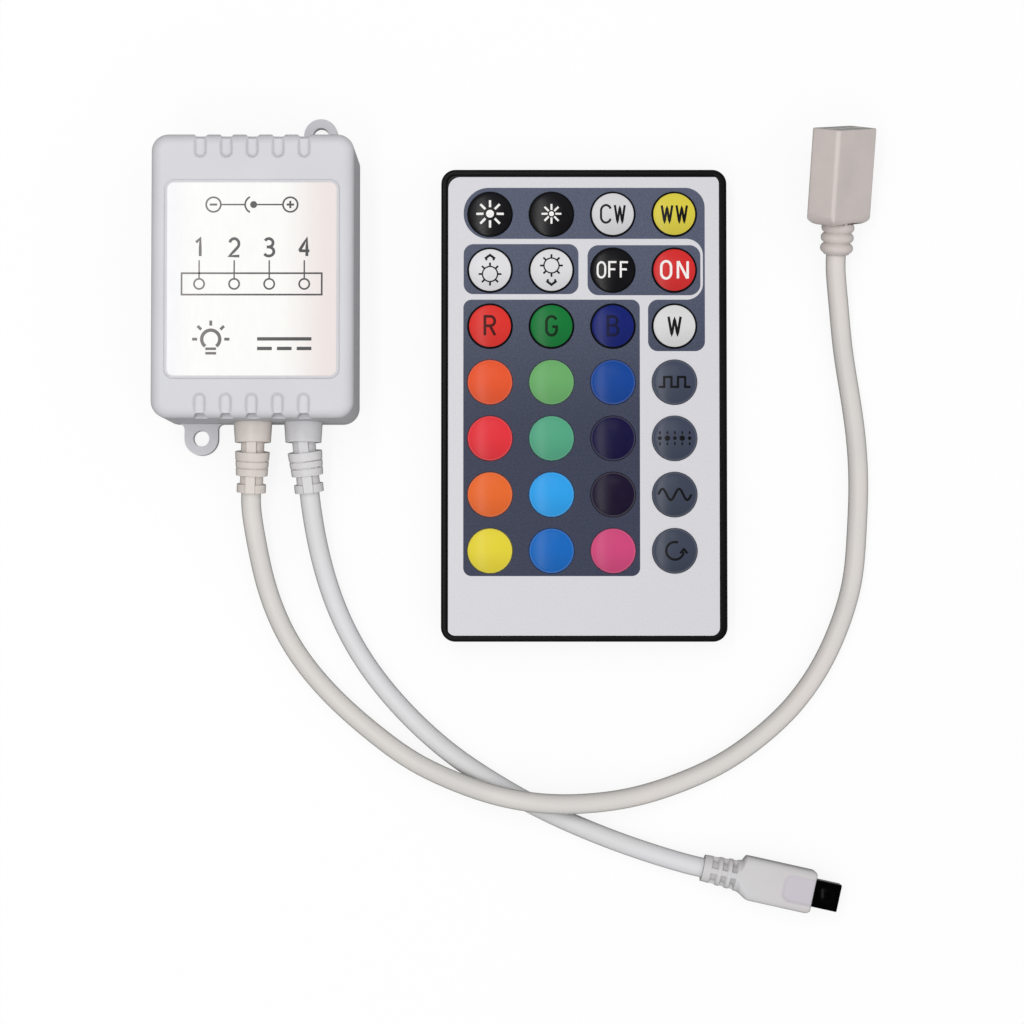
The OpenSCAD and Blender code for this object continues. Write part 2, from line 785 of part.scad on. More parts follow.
module power_jack() {
    color("#1d1d1f") difference() {
        translate([-jack_width / 2, jack_face - jack_length, board_top])
            cube([jack_width, jack_length, jack_height]);
        translate([0, jack_face, jack_axis_z]) rotate([90, 0, 0]) {
            translate([0, 0, -overrun]) cylinder(r = socket_radius, h = socket_depth + overrun);
            translate([0, 0, -overrun]) cylinder(r = mouth_radius, h = mouth_depth + overrun);
            translate([0, 0, -mouth_chamfer])
                cylinder(r1 = mouth_radius + 2 * mouth_chamfer, r2 = mouth_radius,
                    h = 2 * mouth_chamfer);
        }
    }
}

module jack_centre_pin() {
    tip = mouth_depth + pin_setback;
    length = socket_depth - tip;
    color("silver")
        translate([0, jack_face - tip, jack_axis_z])
            rotate([90, 0, 0]) {
                translate([0, 0, pin_radius])
                    cylinder(r = pin_radius, h = length - pin_radius);
                translate([0, 0, pin_radius]) sphere(pin_radius);
            }
}

module jack_spring_contact() {
    chord = sqrt(pow(socket_radius, 2) - pow(spring_width / 2, 2));
    color("#c9b26a")
        translate([-spring_width / 2, jack_face - socket_depth,
            jack_axis_z - chord + seat_gap])
            cube([spring_width, spring_length, spring_thickness]);
}

// Runs its children on the board, at shares of its width and length from its centre
module on_board(shares) {
    translate([board_width * shares[0], board_y + board_length * shares[1], board_top])
        children();
}

// Power transistor or regulator: body, tab and three legs
module transistor(width, length, height) {
    leg = width * leg_width_share;
    sheet = height * tab_sheet_share;
    translate([-width / 2, -length / 2, 0]) cube([width, length, height]);
    translate([-width * tab_width_share / 2, length / 2, 0])
        cube([width * tab_width_share, length * tab_length_share, sheet]);
    for (i = [-1, 0, 1])
        translate([i * width / 3 - leg / 2, -length * (1 / 2 + leg_length_share), 0])
            cube([leg, length * leg_length_share, sheet]);
}

module channel_transistors() {
    color("#2a2a2c")
        for (place = transistor_place_shares)
            on_board(place) transistor(transistor_width, transistor_length, transistor_height);
}

// Flat chip with legs on its two long sides
module flat_chip(length, legs) {
    pitch = length / legs;
    foot = chip_width * chip_foot_share;
    sheet = chip_height * chip_sheet_share;
    translate([-chip_width / 2, -length / 2, sheet / 2])
        cube([chip_width, length, chip_height - sheet / 2]);
    for (side = [-1, 1], i = [0:legs - 1])
        translate([side * (chip_width + foot) / 2, (i - (legs - 1) / 2) * pitch, sheet / 2])
            cube([foot, pitch * chip_leg_share, sheet], center = true);
}

module microcontroller() {
    color("#242426") on_board(micro_place_shares)
        rotate([0, 0, 90]) flat_chip(long_chip_length, long_chip_legs);
}

module memory_chip() {
    color("#242426") on_board(memory_place_shares)
        flat_chip(short_chip_length, short_chip_legs);
}

module voltage_regulator() {
    color("#242426") on_board(regulator_place_shares)
        transistor(regulator_width, regulator_length, regulator_height);
}

module smoothing_capacitor() {
    color("#20222c") on_board(capacitor_place_shares)
        difference() {
            cylinder(r = capacitor_radius, h = capacitor_height);
            translate([0, 0, capacitor_radius / 2])
                rotate_extrude()
                    translate([capacitor_radius, 0])
                        circle(capacitor_radius * capacitor_groove_share);
        }
}

// Strain relief: a flange and neck in the wall, then rings on a core, pointing away from it
module gland(x, lean) {
    function radius_at(share) =
        gland_base_radius + (gland_tip_radius - gland_base_radius) * share;
    translate([x, -case_end, parting_height]) {
        rotate([90, 0, 0]) {
            translate([0, 0, -case_wall]) cylinder(r = neck_radius, h = case_wall);
            translate([0, 0, -case_wall - flange_thickness])
                linear_extrude(flange_thickness)
                    square([flange_width, flange_width], center = true);
            cylinder(r1 = radius_at(0), r2 = radius_at(base_share),
                h = gland_length * base_share);
        }
        translate([0, -pivot, 0])
            rotate([90 + gland_droop, 0, lean])
                translate([0, 0, -pivot]) leaning_rings();
    }
}

// The part of a gland beyond its base, which leans with the lead
module leaning_rings() {
    function radius_at(share) =
        gland_base_radius + (gland_tip_radius - gland_base_radius) * share;
    rib = 2 * gland_core_radius * rib_share;
    translate([0, 0, pivot])
        cylinder(r = gland_core_radius, h = gland_length - pivot);
    translate([-rib / 2, -gland_tip_radius, pivot])
        cube([rib, 2 * gland_tip_radius, gland_length - pivot]);
    difference() {
        translate([0, 0, gland_length * ring_start_share])
            cylinder(r1 = radius_at(ring_start_share), r2 = radius_at(ring_end_share),
                h = gland_length * (ring_end_share - ring_start_share));
        for (share = [band_start_share, band_end_share])
            translate([0, 0, gland_length * share - groove_width / 2])
                difference() {
                    cylinder(r = gland_base_radius + overrun, h = groove_width);
                    translate([0, 0, -overrun])
                        cylinder(r = radius_at(share) - groove_depth,
                            h = groove_width + 2 * overrun);
                }
    }
    translate([0, 0, gland_length * tip_start_share])
        cylinder(r = gland_tip_radius, h = gland_length * (1 - tip_start_share));
}

module output_gland() {
    color("#dcd6d2") gland(output_gland_x, output_lean);
}

module sensor_gland() {
    color("#cfccce") gland(sensor_gland_x, sensor_lean);
}

// Wires from a gland's flange, over and down to the board
module wires(x, count) {
    start = -inner_end + flange_thickness;
    drop = parting_height - wire_bend - board_top;
    for (i = [0:count - 1])
        translate([x + (i - (count - 1) / 2) * wire_pitch, start, parting_height]) {
            rotate([-90, 0, 0]) cylinder(r = wire_radius, h = wire_run);
            translate([0, wire_run, -wire_bend])
                rotate([90, 0, 90])
                    rotate_extrude(angle = 90)
                        translate([wire_bend, 0]) circle(wire_radius);
            translate([0, wire_run + wire_bend, -wire_bend - drop])
                cylinder(r = wire_radius, h = drop);
        }
}

module output_wires() {
    color("#b8342e") wires(output_gland_x, output_wire_count);
}

module sensor_wires() {
    color("#e8e4da") wires(sensor_gland_x, sensor_wire_count);
}

module output_lead() {
    color("#e4dfda") cord(output_points, output_lead_diameter);
}

module sensor_lead() {
    color("#dedcdb") cord(sensor_points, sensor_lead_diameter);
}

// Frame of the connector: +Z runs from the lead end to the open end
module at_connector() {
    translate(connector_start)
        rotate([connector_tilt - 90, 0, -connector_turn])
            rotate([0, 0, connector_roll])
                children();
}

module contact_places() {
    for (i = [0:contact_count - 1])
        translate([(i - (contact_count - 1) / 2) * contact_pitch, 0,
            connector_length - contact_setback - contact_length])
            children();
}

module output_connector() {
    blank = 2 * connector_width;
    color("#d3cac7") at_connector() {
        difference() {
            intersection() {
                linear_extrude(connector_length)
                    rounded_outline(connector_width, connector_thickness,
                        connector_edge_radius);
                translate([0, 0, blank / 2])
                    rotate([90, 0, 0])
                        linear_extrude(blank, center = true)
                            rounded_outline(connector_width, blank,
                                connector_corner_radius);
                translate([0, 0, blank / 2])
                    rotate([90, 0, 90])
                        linear_extrude(blank, center = true)
                            rounded_outline(connector_thickness, blank,
                                connector_end_radius);
            }
            contact_places()
                cylinder(r = contact_radius + seat_gap,
                    h = contact_length + contact_setback + overrun);
        }
        translate([0, 0, -relief_length])
            cylinder(r = relief_core_radius, h = relief_length);
        for (share = relief_ring_shares)
            translate([0, 0, -relief_length * share])
                rotate_extrude() {
                    translate([relief_ring_reach, 0]) circle(relief_ring_radius);
                    translate([0, -relief_ring_radius])
                        square([relief_ring_reach, 2 * relief_ring_radius]);
                }
    }
}

module connector_contacts() {
    bore_share = 0.6;
    color("#c8b98a") at_connector() contact_places()
        difference() {
            cylinder(r = contact_radius, h = contact_length);
            translate([0, 0, contact_length / 3])
                cylinder(r = contact_radius * bore_share, h = contact_length);
        }
}

// Frame of the sensor head: +X runs from the lead to the eye
module at_head() {
    translate(head_start) rotate([0, 0, head_turn]) children();
}

function powered(value, power) = sign(value) * pow(abs(value), power);

// The grip's moulded body as a stack of rounded sections
module grip_body() {
    rings = [for (s = grip_station_shares)
        [for (a = [0:grip_sides - 1])
            let (angle = 360 * (a + 1 / 2) / grip_sides)
            [grip_relief_length + s[0] * grip_length,
                -s[1] * grip_width / 2 * powered(cos(angle), 2 / s[3]),
                s[2] * grip_thickness / 2 * powered(sin(angle), 2 / s[3])]]];
    polyhedron(points = [for (r = rings) each r], faces = stack_faces(len(rings), grip_sides));
}

module grip_relief() {
    step = grip_relief_length / grip_relief_rings;
    rotate([0, 90, 0]) {
        cylinder(r = grip_relief_core, h = grip_relief_length + overrun);
        for (i = [0:grip_relief_rings - 1])
            translate([0, 0, i * step])
                cylinder(
                    r = grip_relief_radii[0] + (grip_relief_radii[1] - grip_relief_radii[0])
                        * i / (grip_relief_rings - 1),
                    h = grip_ring_length);
        for (turn = [0, 90])
            rotate([0, 0, turn])
                translate([-grip_relief_radii[0], -grip_rib_width / 2, 0])
                    cube([2 * grip_relief_radii[0], grip_rib_width,
                        grip_relief_length + overrun]);
    }
}

module sensor_grip() {
    front = grip_relief_length + grip_length;
    thumb_length = grip_length * thumb_length_share;
    thumb_width = grip_width * thumb_width_share;
    color("#d8d7d9") at_head() difference() {
        union() {
            grip_relief();
            grip_body();
        }
        translate([front, 0, grip_thickness / 2 - thumb_depth])
            linear_extrude(grip_thickness)
                rounded_outline(2 * thumb_length, thumb_width,
                    thumb_width * thumb_corner_share);
        translate([front - eye_bury - seat_gap, -eye_width / 2 - seat_gap,
            -eye_thickness / 2 - seat_gap])
            cube([eye_bury + overrun + seat_gap, eye_width + 2 * seat_gap,
                eye_thickness + 2 * seat_gap]);
    }
}

module sensor_eye() {
    front = grip_relief_length + grip_length;
    length = eye_bury + eye_reach;
    lens_curve = (pow(eye_lens_radius, 2) + pow(lens_height, 2)) / (2 * lens_height);
    color("#141416") at_head() {
        translate([front - eye_bury, 0, 0])
            rotate([90, 0, 90])
                linear_extrude(length)
                    rounded_outline(eye_width, eye_thickness, eye_edge);
        intersection() {
            translate([front + eye_reach / 2, 0,
                eye_thickness / 2 + lens_height - lens_curve])
                sphere(lens_curve);
            translate([front + eye_reach / 2, 0, 0])
                cylinder(r = eye_lens_radius, h = eye_thickness);
        }
    }
}

// Frame of the remote: its centre on the table
module at_remote() {
    translate([remote_x, remote_y, 0]) children();
}

module remote_shell() {
    end = remote_length / 2;
    inner = remote_inner_length / 2;
    rail_length = tray_length - remote_wall;
    color("#1c1d20") at_remote() {
        difference() {
            crowned_block(remote_width, remote_length, remote_height, remote_corner_radius,
                remote_edge_radius);
            translate([overlay_x, 0, overlay_bottom])
                linear_extrude(remote_height)
                    rounded_outline(overlay_width + 2 * seat_gap,
                        overlay_length + 2 * seat_gap, overlay_radius);
            translate([0, 0, remote_floor])
                linear_extrude(remote_height)
                    square([remote_inner_width, remote_inner_length], center = true);
            translate([-tray_width / 2 - slide_gap, -end - overrun, remote_floor])
                cube([tray_width + 2 * slide_gap, remote_wall + 2 * overrun,
                    tray_thickness + 2 * tray_gap]);
            translate([0, end + overrun, led_axis_z])
                rotate([90, 0, 0])
                    cylinder(r = led_radius + seat_gap, h = remote_wall + 2 * overrun);
        }
        for (side = [-1, 1]) {
            translate([side * (tray_width / 2 + slide_gap + rail_width / 2)
                - rail_width / 2, -inner, 0])
                cube([rail_width, rail_length, keypad_bottom]);
            translate([side * tray_width / 3, slide_gap + post_radius - end + tray_length, 0])
                cylinder(r = post_radius, h = keypad_bottom);
            for (y = [0, inner / 2])
                translate([side * remote_inner_width / 3, y, 0])
                    cylinder(r = post_radius, h = keypad_bottom);
        }
    }
}

// Frame of one key's centre on the remote
module at_key(row, column) {
    translate([keys_left - remote_width / 2 + column * key_pitch_x,
        remote_length / 2 - keys_far - row * key_pitch_y, 0])
        children();
}

module key_places() {
    for (row = [0:key_rows - 1], column = [0:key_columns - 1])
        at_key(row, column) children();
}

module remote_overlay() {
    color("#dfdfe4") at_remote() difference() {
        translate([overlay_x, 0, overlay_bottom])
            linear_extrude(overlay_thickness)
                rounded_outline(overlay_width, overlay_length, overlay_radius);
        key_places()
            translate([0, 0, overlay_bottom - overrun])
                cylinder(r = key_radius + key_gap, h = overlay_thickness + 2 * overrun);
    }
}

module keypad_board() {
    color("#7a5a2c") at_remote()
        translate([hole_gap - remote_inner_width / 2, hole_gap - remote_inner_length / 2,
            keypad_bottom])
            cube([remote_inner_width - 2 * hole_gap, remote_inner_length - 2 * hole_gap,
                keypad_thickness]);
}

module dome_contacts() {
    color("silver") at_remote() key_places()
        translate([0, 0, keypad_top])
            cylinder(r1 = contact_dome_radius, r2 = contact_dome_top_radius,
                h = contact_dome_height);
}

module remote_chip() {
    color("#242426") at_remote()
        translate([0, remote_inner_length / 6, keypad_bottom])
            mirror([0, 0, 1]) flat_chip(long_chip_length, long_chip_legs);
}

module infrared_led() {
    tip = remote_length / 2;
    color("#b9b4cc") at_remote() {
        translate([0, tip - led_radius, led_axis_z]) {
            sphere(led_radius);
            rotate([90, 0, 0]) cylinder(r = led_radius, h = led_length - led_radius);
        }
        for (side = [-1, 1])
            translate([side * led_radius / 2 - leg_width / 2,
                tip - led_length - 2 * leg_width, led_axis_z - leg_width / 2]) {
                cube([leg_width, 2 * leg_width, leg_width]);
                cube([leg_width, leg_width, keypad_bottom - led_axis_z + leg_width / 2]);
            }
    }
}

// Two leaf springs on the keypad board: one over the cell, one behind its rim
module battery_contacts() {
    cell_top = tray_bottom + tray_floor + cell_thickness;
    back = cell_y + cell_radius + seat_gap;
    color("#c9cbd0") at_remote() {
        translate([-leaf_width / 2, cell_y - leaf_length / 2, cell_top + seat_gap])
            cube([leaf_width, leaf_length, keypad_bottom - cell_top - seat_gap]);
        translate([-leaf_width / 4, back, tray_bottom + tray_floor + seat_gap])
            cube([leaf_width / 2, leaf_thickness,
                keypad_bottom - tray_bottom - tray_floor - seat_gap]);
    }
}

module battery_tray() {
    front = -remote_length / 2;
    color("#232427") at_remote() difference() {
        translate([-tray_width / 2, front, tray_bottom])
            cube([tray_width, tray_length, tray_thickness]);
        translate([0, cell_y, tray_bottom + tray_floor])
            cylinder(r = cell_radius + hole_gap, h = tray_thickness);
        translate([-cell_slot_width / 2, cell_y, tray_bottom + tray_floor])
            cube([cell_slot_width, tray_length, tray_thickness]);
        translate([-grip_notch_width / 2, front - overrun, tray_bottom - overrun])
            cube([grip_notch_width, grip_notch_depth + overrun, tray_thickness / 2 + overrun]);
    }
}

module coin_cell() {
    rim_height_share = 0.8;
    rim_radius_share = 0.93;
    color("#c4c6ca") at_remote()
        translate([0, cell_y, tray_bottom + tray_floor]) {
            cylinder(r = cell_radius * rim_radius_share, h = cell_thickness);
            translate([0, 0, cell_thickness * (1 - rim_height_share)])
                cylinder(r = cell_radius, h = cell_thickness * rim_height_share);
        }
}

// One key: a domed cap through the overlay, its ring below and the stem that presses the dome
module key(row, column) {
    crown_top = overlay_top + key_crown;
    rise = key_crown * (1 - key_shoulder_share);
    curve = (pow(key_radius, 2) + pow(rise, 2)) / (2 * rise);
    color(key_colours[row][column]) at_remote() at_key(row, column) {
        intersection() {
            translate([0, 0, key_ring_bottom])
                cylinder(r = key_radius, h = crown_top - key_ring_bottom);
            translate([0, 0, crown_top - curve]) sphere(curve);
        }
        translate([0, 0, key_ring_bottom])
            cylinder(r = key_radius + key_flange, h = key_ring_thickness);
        translate([0, 0, key_stem_bottom])
            cylinder(r = key_stem_radius, h = key_ring_top - key_stem_bottom);
    }
}

base_shell();
top_cover();
label();
cover_screws();
circuit_board();
power_jack();
jack_centre_pin();
jack_spring_contact();
channel_transistors();
microcontroller();
memory_chip();
voltage_regulator();
smoothing_capacitor();
output_gland();
sensor_gland();
output_wires();
sensor_wires();
output_lead();
sensor_lead();
output_connector();
connector_contacts();
sensor_grip();
sensor_eye();
remote_shell();
remote_overlay();
keypad_board();
dome_contacts();
remote_chip();
infrared_led();
battery_contacts();
battery_tray();
coin_cell();
for (row = [0:key_rows - 1], column = [0:key_columns - 1])
    key(row, column);
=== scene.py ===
"""Looks of an LED strip controller: a wall box with two leads, and its card remote.

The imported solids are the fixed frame. Each class below is one sub-assembly: it rounds and
dresses its solids and adds what only the looks need, such as print, key legends, the leads'
sheaths and the moulded grip. Sizes are in millimetres, and MM turns them into metres.
"""

import logging
import math
from collections.abc import Callable, Iterable
from dataclasses import dataclass, field
from enum import Enum

import bmesh
import bpy
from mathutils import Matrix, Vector


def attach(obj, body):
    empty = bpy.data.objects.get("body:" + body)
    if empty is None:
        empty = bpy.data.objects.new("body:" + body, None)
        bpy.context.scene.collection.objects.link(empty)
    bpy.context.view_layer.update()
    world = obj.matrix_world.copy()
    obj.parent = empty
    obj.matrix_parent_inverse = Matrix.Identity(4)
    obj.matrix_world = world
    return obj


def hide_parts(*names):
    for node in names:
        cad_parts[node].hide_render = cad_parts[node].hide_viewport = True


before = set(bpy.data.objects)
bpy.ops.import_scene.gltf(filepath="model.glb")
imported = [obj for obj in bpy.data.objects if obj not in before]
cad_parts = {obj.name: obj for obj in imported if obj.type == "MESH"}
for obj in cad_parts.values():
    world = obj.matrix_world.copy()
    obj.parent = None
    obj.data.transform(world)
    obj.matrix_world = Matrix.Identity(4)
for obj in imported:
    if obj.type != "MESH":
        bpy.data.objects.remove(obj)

MM = 0.001
WHITE = "#ffffff"
NOISE_WIDE = (0.2, 0.8)  # ranges of a noise that are laid out from end to end
NOISE_MIDDLE = (0.3, 0.7)
NOISE_CORE = (0.35, 0.65)
GRAIN_SHARE = 0.3  # of the fine grain, beside the blots
BLOT_SHARE = 0.77  # brings the sum of both back to about one
ROUGHNESS_SWING = (-0.05, 0.05)  # of the grain about a finish's mean
COAT_ROUGHNESS = 0.12
# The end of a painted shade: the darker rim colour where a surface turns from the eye.
PAINTED_SHADE_END = 0.95  # share of a surface's turn from the eye at which its rim colour is full
WELD_REACH = 1e-6  # metres
FLAT_ANGLE = 0.5  # degrees: faces that turn less are taken as one
EDGE_ANGLE = 28.0  # degrees: edges that turn more are rounded
EDGE_STEPS = 3
CIRCLE_STEPS = 24
DISC_STEPS = 20
SHEATH_STEPS = 10
RAY_COUNT = 8
Point = tuple[float, float, float]
Flat = tuple[float, float]
Socket = bpy.types.NodeSocket

log = logging.getLogger("controller")


def metres(point: Point | Flat) -> Vector:
    """Return a point given in millimetres as a vector in metres."""
    return Vector(point) * MM


def linear(colour: str) -> tuple[float, float, float, float]:
    """Turn a written colour into the values that a shader takes.

    Args:
        colour: Six hex digits after a hash, as seen on a screen.

    Returns:
        Linear red, green, blue and an alpha of one.
    """
    parts = [int(colour[i:i + 2], 16) / 255 for i in (1, 3, 5)]
    red, green, blue = (c / 12.92 if c <= 0.04045 else ((c + 0.055) / 1.055) ** 2.4 for c in parts)
    return red, green, blue, 1.0


class Tree:
    """Short hand for writing a node tree."""

    def __init__(self, tree: bpy.types.NodeTree) -> None:
        """Start on a tree."""
        self.tree = tree

    def feed(self, socket: Socket, value: Socket | float | tuple | str) -> None:
        """Give an input a link, a plain value or a written colour.

        Args:
            socket: The input.
            value: What it is given.
        """
        if isinstance(value, bpy.types.NodeSocket):
            self.tree.links.new(value, socket)
        else:
            socket.default_value = linear(value) if isinstance(value, str) else value

    def node(self, kind: str, *inputs: Socket | float | tuple, **settings: object) -> bpy.types.Node:
        """Add a node.

        Args:
            kind: Blender's name of the node's type.
            inputs: A link or a value for each of its first inputs, in order.
            settings: Properties of the node, by name.

        Returns:
            The new node.
        """
        made = self.tree.nodes.new(kind)
        for name, value in settings.items():
            setattr(made, name, value)
        for socket, value in zip(made.inputs, inputs):
            self.feed(socket, value)
        return made

    def math(self, operation: str, first: Socket | float, second: Socket | float = 0.0) -> Socket:
        """Return the result of a sum on one or two values."""
        return self.node("ShaderNodeMath", first, second, operation=operation).outputs[0]

    def vector(self, operation: str, first: Socket | Point, second: Socket | Point = (0, 0, 0)) -> Socket:
        """Return the result of a sum on one or two vectors."""
        made = self.node("ShaderNodeVectorMath", first, second, operation=operation)
        return made.outputs[1 if operation in ("LENGTH", "DOT_PRODUCT") else 0]

    def axis(self, point: Socket, index: int) -> Socket:
        """Return one of a point's three values."""
        return self.node("ShaderNodeSeparateXYZ", point).outputs[index]

    def spread(self, value: Socket, low: float, high: float, start: float = 0.0, end: float = 1.0,
               kind: str = "SMOOTHSTEP") -> Socket:
        """Return value's place between low and high, laid out from start to end, smoothed unless LINEAR."""
        made = self.node("ShaderNodeMapRange", value, low, high, start, end, interpolation_type=kind)
        return made.outputs[0]

    def mix(self, share: Socket | float, first: Socket | str, second: Socket | str) -> Socket:
        """Mix two colours, each a link or a written colour.

        Args:
            share: Share of the second.
            first: The first colour.
            second: The second colour.

        Returns:
            The colour between them.
        """
        made = self.node("ShaderNodeMix", share, data_type="RGBA")
        self.feed(made.inputs[6], first)
        self.feed(made.inputs[7], second)
        return made.outputs[2]

    def choose(self, test: Socket, usual: Socket | float, special: Socket | float) -> Socket:
        """Switch between two levels.

        Args:
            test: One where the special level holds, and zero elsewhere.
            usual: The usual level.
            special: The special level.

        Returns:
            The level that holds.
        """
        made = self.node("ShaderNodeMix", test)
        self.feed(made.inputs[2], usual)
        self.feed(made.inputs[3], special)
        return made.outputs[0]


class Graph(Tree):
    """Short hand for writing the node tree of one material."""

    def __init__(self, name: str) -> None:
        """Start a material that holds one plain shader.

        Args:
            name: Name of the material.
        """
        self.material = bpy.data.materials.new(name)
        self.material.use_nodes = True
        super().__init__(self.material.node_tree)
        self.shader = self.tree.nodes["Principled BSDF"]

    def place(self) -> Socket:
        """Return the point on the object, in metres in the shared frame."""
        return self.node("ShaderNodeTexCoord").outputs["Object"]

    def in_plan(self, centre: Flat) -> Socket:
        """Return the point's place in plan from a centre, in metres and with no height."""
        middle = tuple(metres((*centre, 0)))
        return self.vector("MULTIPLY", self.vector("SUBTRACT", self.place(), middle), (1, 1, 0))

    def noise(self, size: float, detail: float = 2.0, stretch: Point = (1, 1, 1)) -> Socket:
        """Return a soft noise.

        Args:
            size: Size of its blots in millimetres.
            detail: How many finer layers it has.
            stretch: How much denser it is along each axis.

        Returns:
            A value from zero to one.
        """
        point = self.vector("MULTIPLY", self.place(), stretch)
        made = self.node("ShaderNodeTexNoise", point)
        made.inputs["Scale"].default_value = 1 / (size * MM)
        made.inputs["Detail"].default_value = detail
        return made.outputs[0]

    def set(self, **inputs: Socket | float | str) -> None:
        """Give the shader's inputs, by name with _ for a space, a link, a value or a colour."""
        for name, value in inputs.items():
            self.feed(self.shader.inputs[name.replace("_", " ")], value)

    def emboss(self, height: Socket, depth: float) -> None:
        """Raise the surface, as a texture that leaves the mesh as it is.

        Args:
            height: How high each point is, from zero to one.
            depth: What a height of one stands for, in millimetres.
        """
        made = self.node("ShaderNodeBump")
        made.inputs["Strength"].default_value = 1.0
        made.inputs["Distance"].default_value = depth * MM
        self.feed(made.inputs["Height"], height)
        self.feed(self.shader.inputs["Normal"], made.outputs[0])


@dataclass(frozen=True)
class Finish:
    """A surface of one colour with soft blots, fine grain and a slight texture, and, where it has a rim
    colour, painted shade where it turns from the eye.

    Attributes:
        name: Name of the material.
        colour: Main colour.
        shade: Colour that the blots lean to.
        roughness: Mean roughness.
        blot: Size of the blots in millimetres.
        grain: Size of the texture in millimetres.
        relief: Height of the texture in millimetres.
        metal: Whether it is bare metal.
        coat: Strength of a clear coat over it.
        stretch: How much denser blots and grain are along each axis.
        rim: Colour of a painted shade where the surface turns away from the eye, or nothing where it stays
            the same.
        rim_start: Share of that turn at which the painted shade starts.
        sheen: Level of its mirror-like reflection.
    """

    name: str
    colour: str
    shade: str
    roughness: float = 0.45
    blot: float = 9.0
    grain: float = 0.22
    relief: float = 0.006
    metal: bool = False
    coat: float = 0.0
    stretch: Point = (1, 1, 1)
    rim: str = ""
    rim_start: float = 0.5
    sheen: float = 0.5

    def graph(self) -> Graph:
        """Write the finish's node tree.

        Returns:
            The tree, whose colour a piece can still change.
        """
        graph = Graph(self.name)
        grain = graph.noise(self.grain, stretch=self.stretch)
        graph.set(
            Base_Color=self.tint(graph, grain),
            Roughness=graph.spread(grain, *NOISE_WIDE, *(self.roughness + s for s in ROUGHNESS_SWING)),
            Metallic=1.0 if self.metal else 0.0,
            Specular_IOR_Level=self.sheen,
            Coat_Weight=self.coat,
            Coat_Roughness=COAT_ROUGHNESS,
        )
        graph.emboss(grain, self.relief)
        return graph

    def tint(self, graph: Graph, grain: Socket) -> Socket:
        """Write the colour with its blots and, if it has one, its rim of painted shade.

        Args:
            graph: The material that the nodes go into.
            grain: The finish's fine grain.

        Returns:
            The colour.
        """
        blots = graph.spread(graph.noise(self.blot, detail=3, stretch=self.stretch), *NOISE_MIDDLE)
        both = graph.math("ADD", blots, graph.math("MULTIPLY", grain, GRAIN_SHARE))
        share = graph.math("MULTIPLY", both, BLOT_SHARE)
        colour = graph.mix(share, self.colour, self.shade)
        if not self.rim:
            return colour
        # Painted shade: the colour darkens towards the rim colour where the surface turns from the eye.
        turned = graph.node("ShaderNodeLayerWeight", 0.5).outputs["Facing"]
        return graph.mix(graph.spread(turned, self.rim_start, PAINTED_SHADE_END), colour, self.rim)

    def material(self) -> bpy.types.Material:
        """Return the finished material."""
        return self.graph().material


# The rim colours below are painted shade, darker where each surface turns from the eye.
CASE_WHITE = Finish("case_white", "#d8d8dc", "#d3d3d8", 0.42, blot=14, rim="#bcbcc0", rim_start=0.7,
                    sheen=0.3)
GLAND_WARM = Finish("gland_warm", "#e2d9d3", "#d8cfc8", 0.4, blot=5, rim="#aeaaa2")
GLAND_COOL = Finish("gland_cool", "#e0dede", "#d3d2d5", 0.4, blot=5, rim="#a6a7a9")
CONNECTOR_WHITE = Finish("connector_white", "#ddd2ce", "#d2c9c5", 0.38, blot=7, rim="#b2b2ae",
                         rim_start=0.7)
GRIP_WHITE = Finish("grip_white", "#d7d6d8", "#d3cfcf", 0.38, blot=8, rim="#a3a5a6")
OUTPUT_SHEATH = Finish("output_sheath", "#e4dcd8", "#dad8d4", 0.45, blot=16, grain=0.4, relief=0.004,
                       rim="#a4a59f", rim_start=0.35)
SENSOR_SHEATH = Finish("sensor_sheath", "#e3e2e5", "#dcdcdc", 0.45, blot=16, grain=0.4, relief=0.004,
                       rim="#a6a7a9", rim_start=0.35)
EYE_EPOXY = Finish("eye_epoxy", "#020203", "#040405", 0.22, relief=0.001, sheen=0.08)
REMOTE_BLACK = Finish("remote_black", "#070709", "#0b0b0e", 0.4, relief=0.003, sheen=0.2)
TRAY_BLACK = Finish("tray_black", "#141416", "#1b1b1e", 0.4, relief=0.004)
JACK_BLACK = Finish("jack_black", "#121213", "#1a1a1b", 0.4)
CHIP_EPOXY = Finish("chip_epoxy", "#1b1b1d", "#242427", 0.55, blot=2, grain=0.08, relief=0.008)
CAPACITOR_SLEEVE = Finish("capacitor_sleeve", "#171a26", "#20232e", 0.25, relief=0.002)
KEYPAD_LAMINATE = Finish("keypad_laminate", "#7a5a2c", "#8a6a38", 0.5, blot=4, stretch=(1, 6, 1))
LED_EPOXY = Finish("led_epoxy", "#b4aecb", "#a49cc2", 0.08, relief=0.001, coat=0.5)
WIRE_RED = Finish("wire_red", "#b3281f", "#9f2019", 0.35, relief=0.002)
WIRE_CREAM = Finish("wire_cream", "#e9e4d6", "#ddd6c4", 0.35, relief=0.002)
STEEL = Finish("steel", "#c3c4c6", "#aeb0b4", 0.28, grain=0.1, relief=0.002, metal=True)
PIN_METAL = Finish("pin_metal", "#cfcfcf", "#bdbfc2", 0.2, grain=0.1, relief=0.001, metal=True)
BRASS = Finish("brass", "#cdb06a", "#b79a52", 0.26, grain=0.1, relief=0.002, metal=True)
CONTACT_METAL = Finish("contact_metal", "#4a3b30", "#382c24", 0.5, blot=1, grain=0.1, relief=0.002)
CELL_STEEL = Finish("cell_steel", "#c9cbcd", "#b3b6ba", 0.3, grain=0.15, relief=0.002, metal=True,
                    stretch=(1, 12, 1))
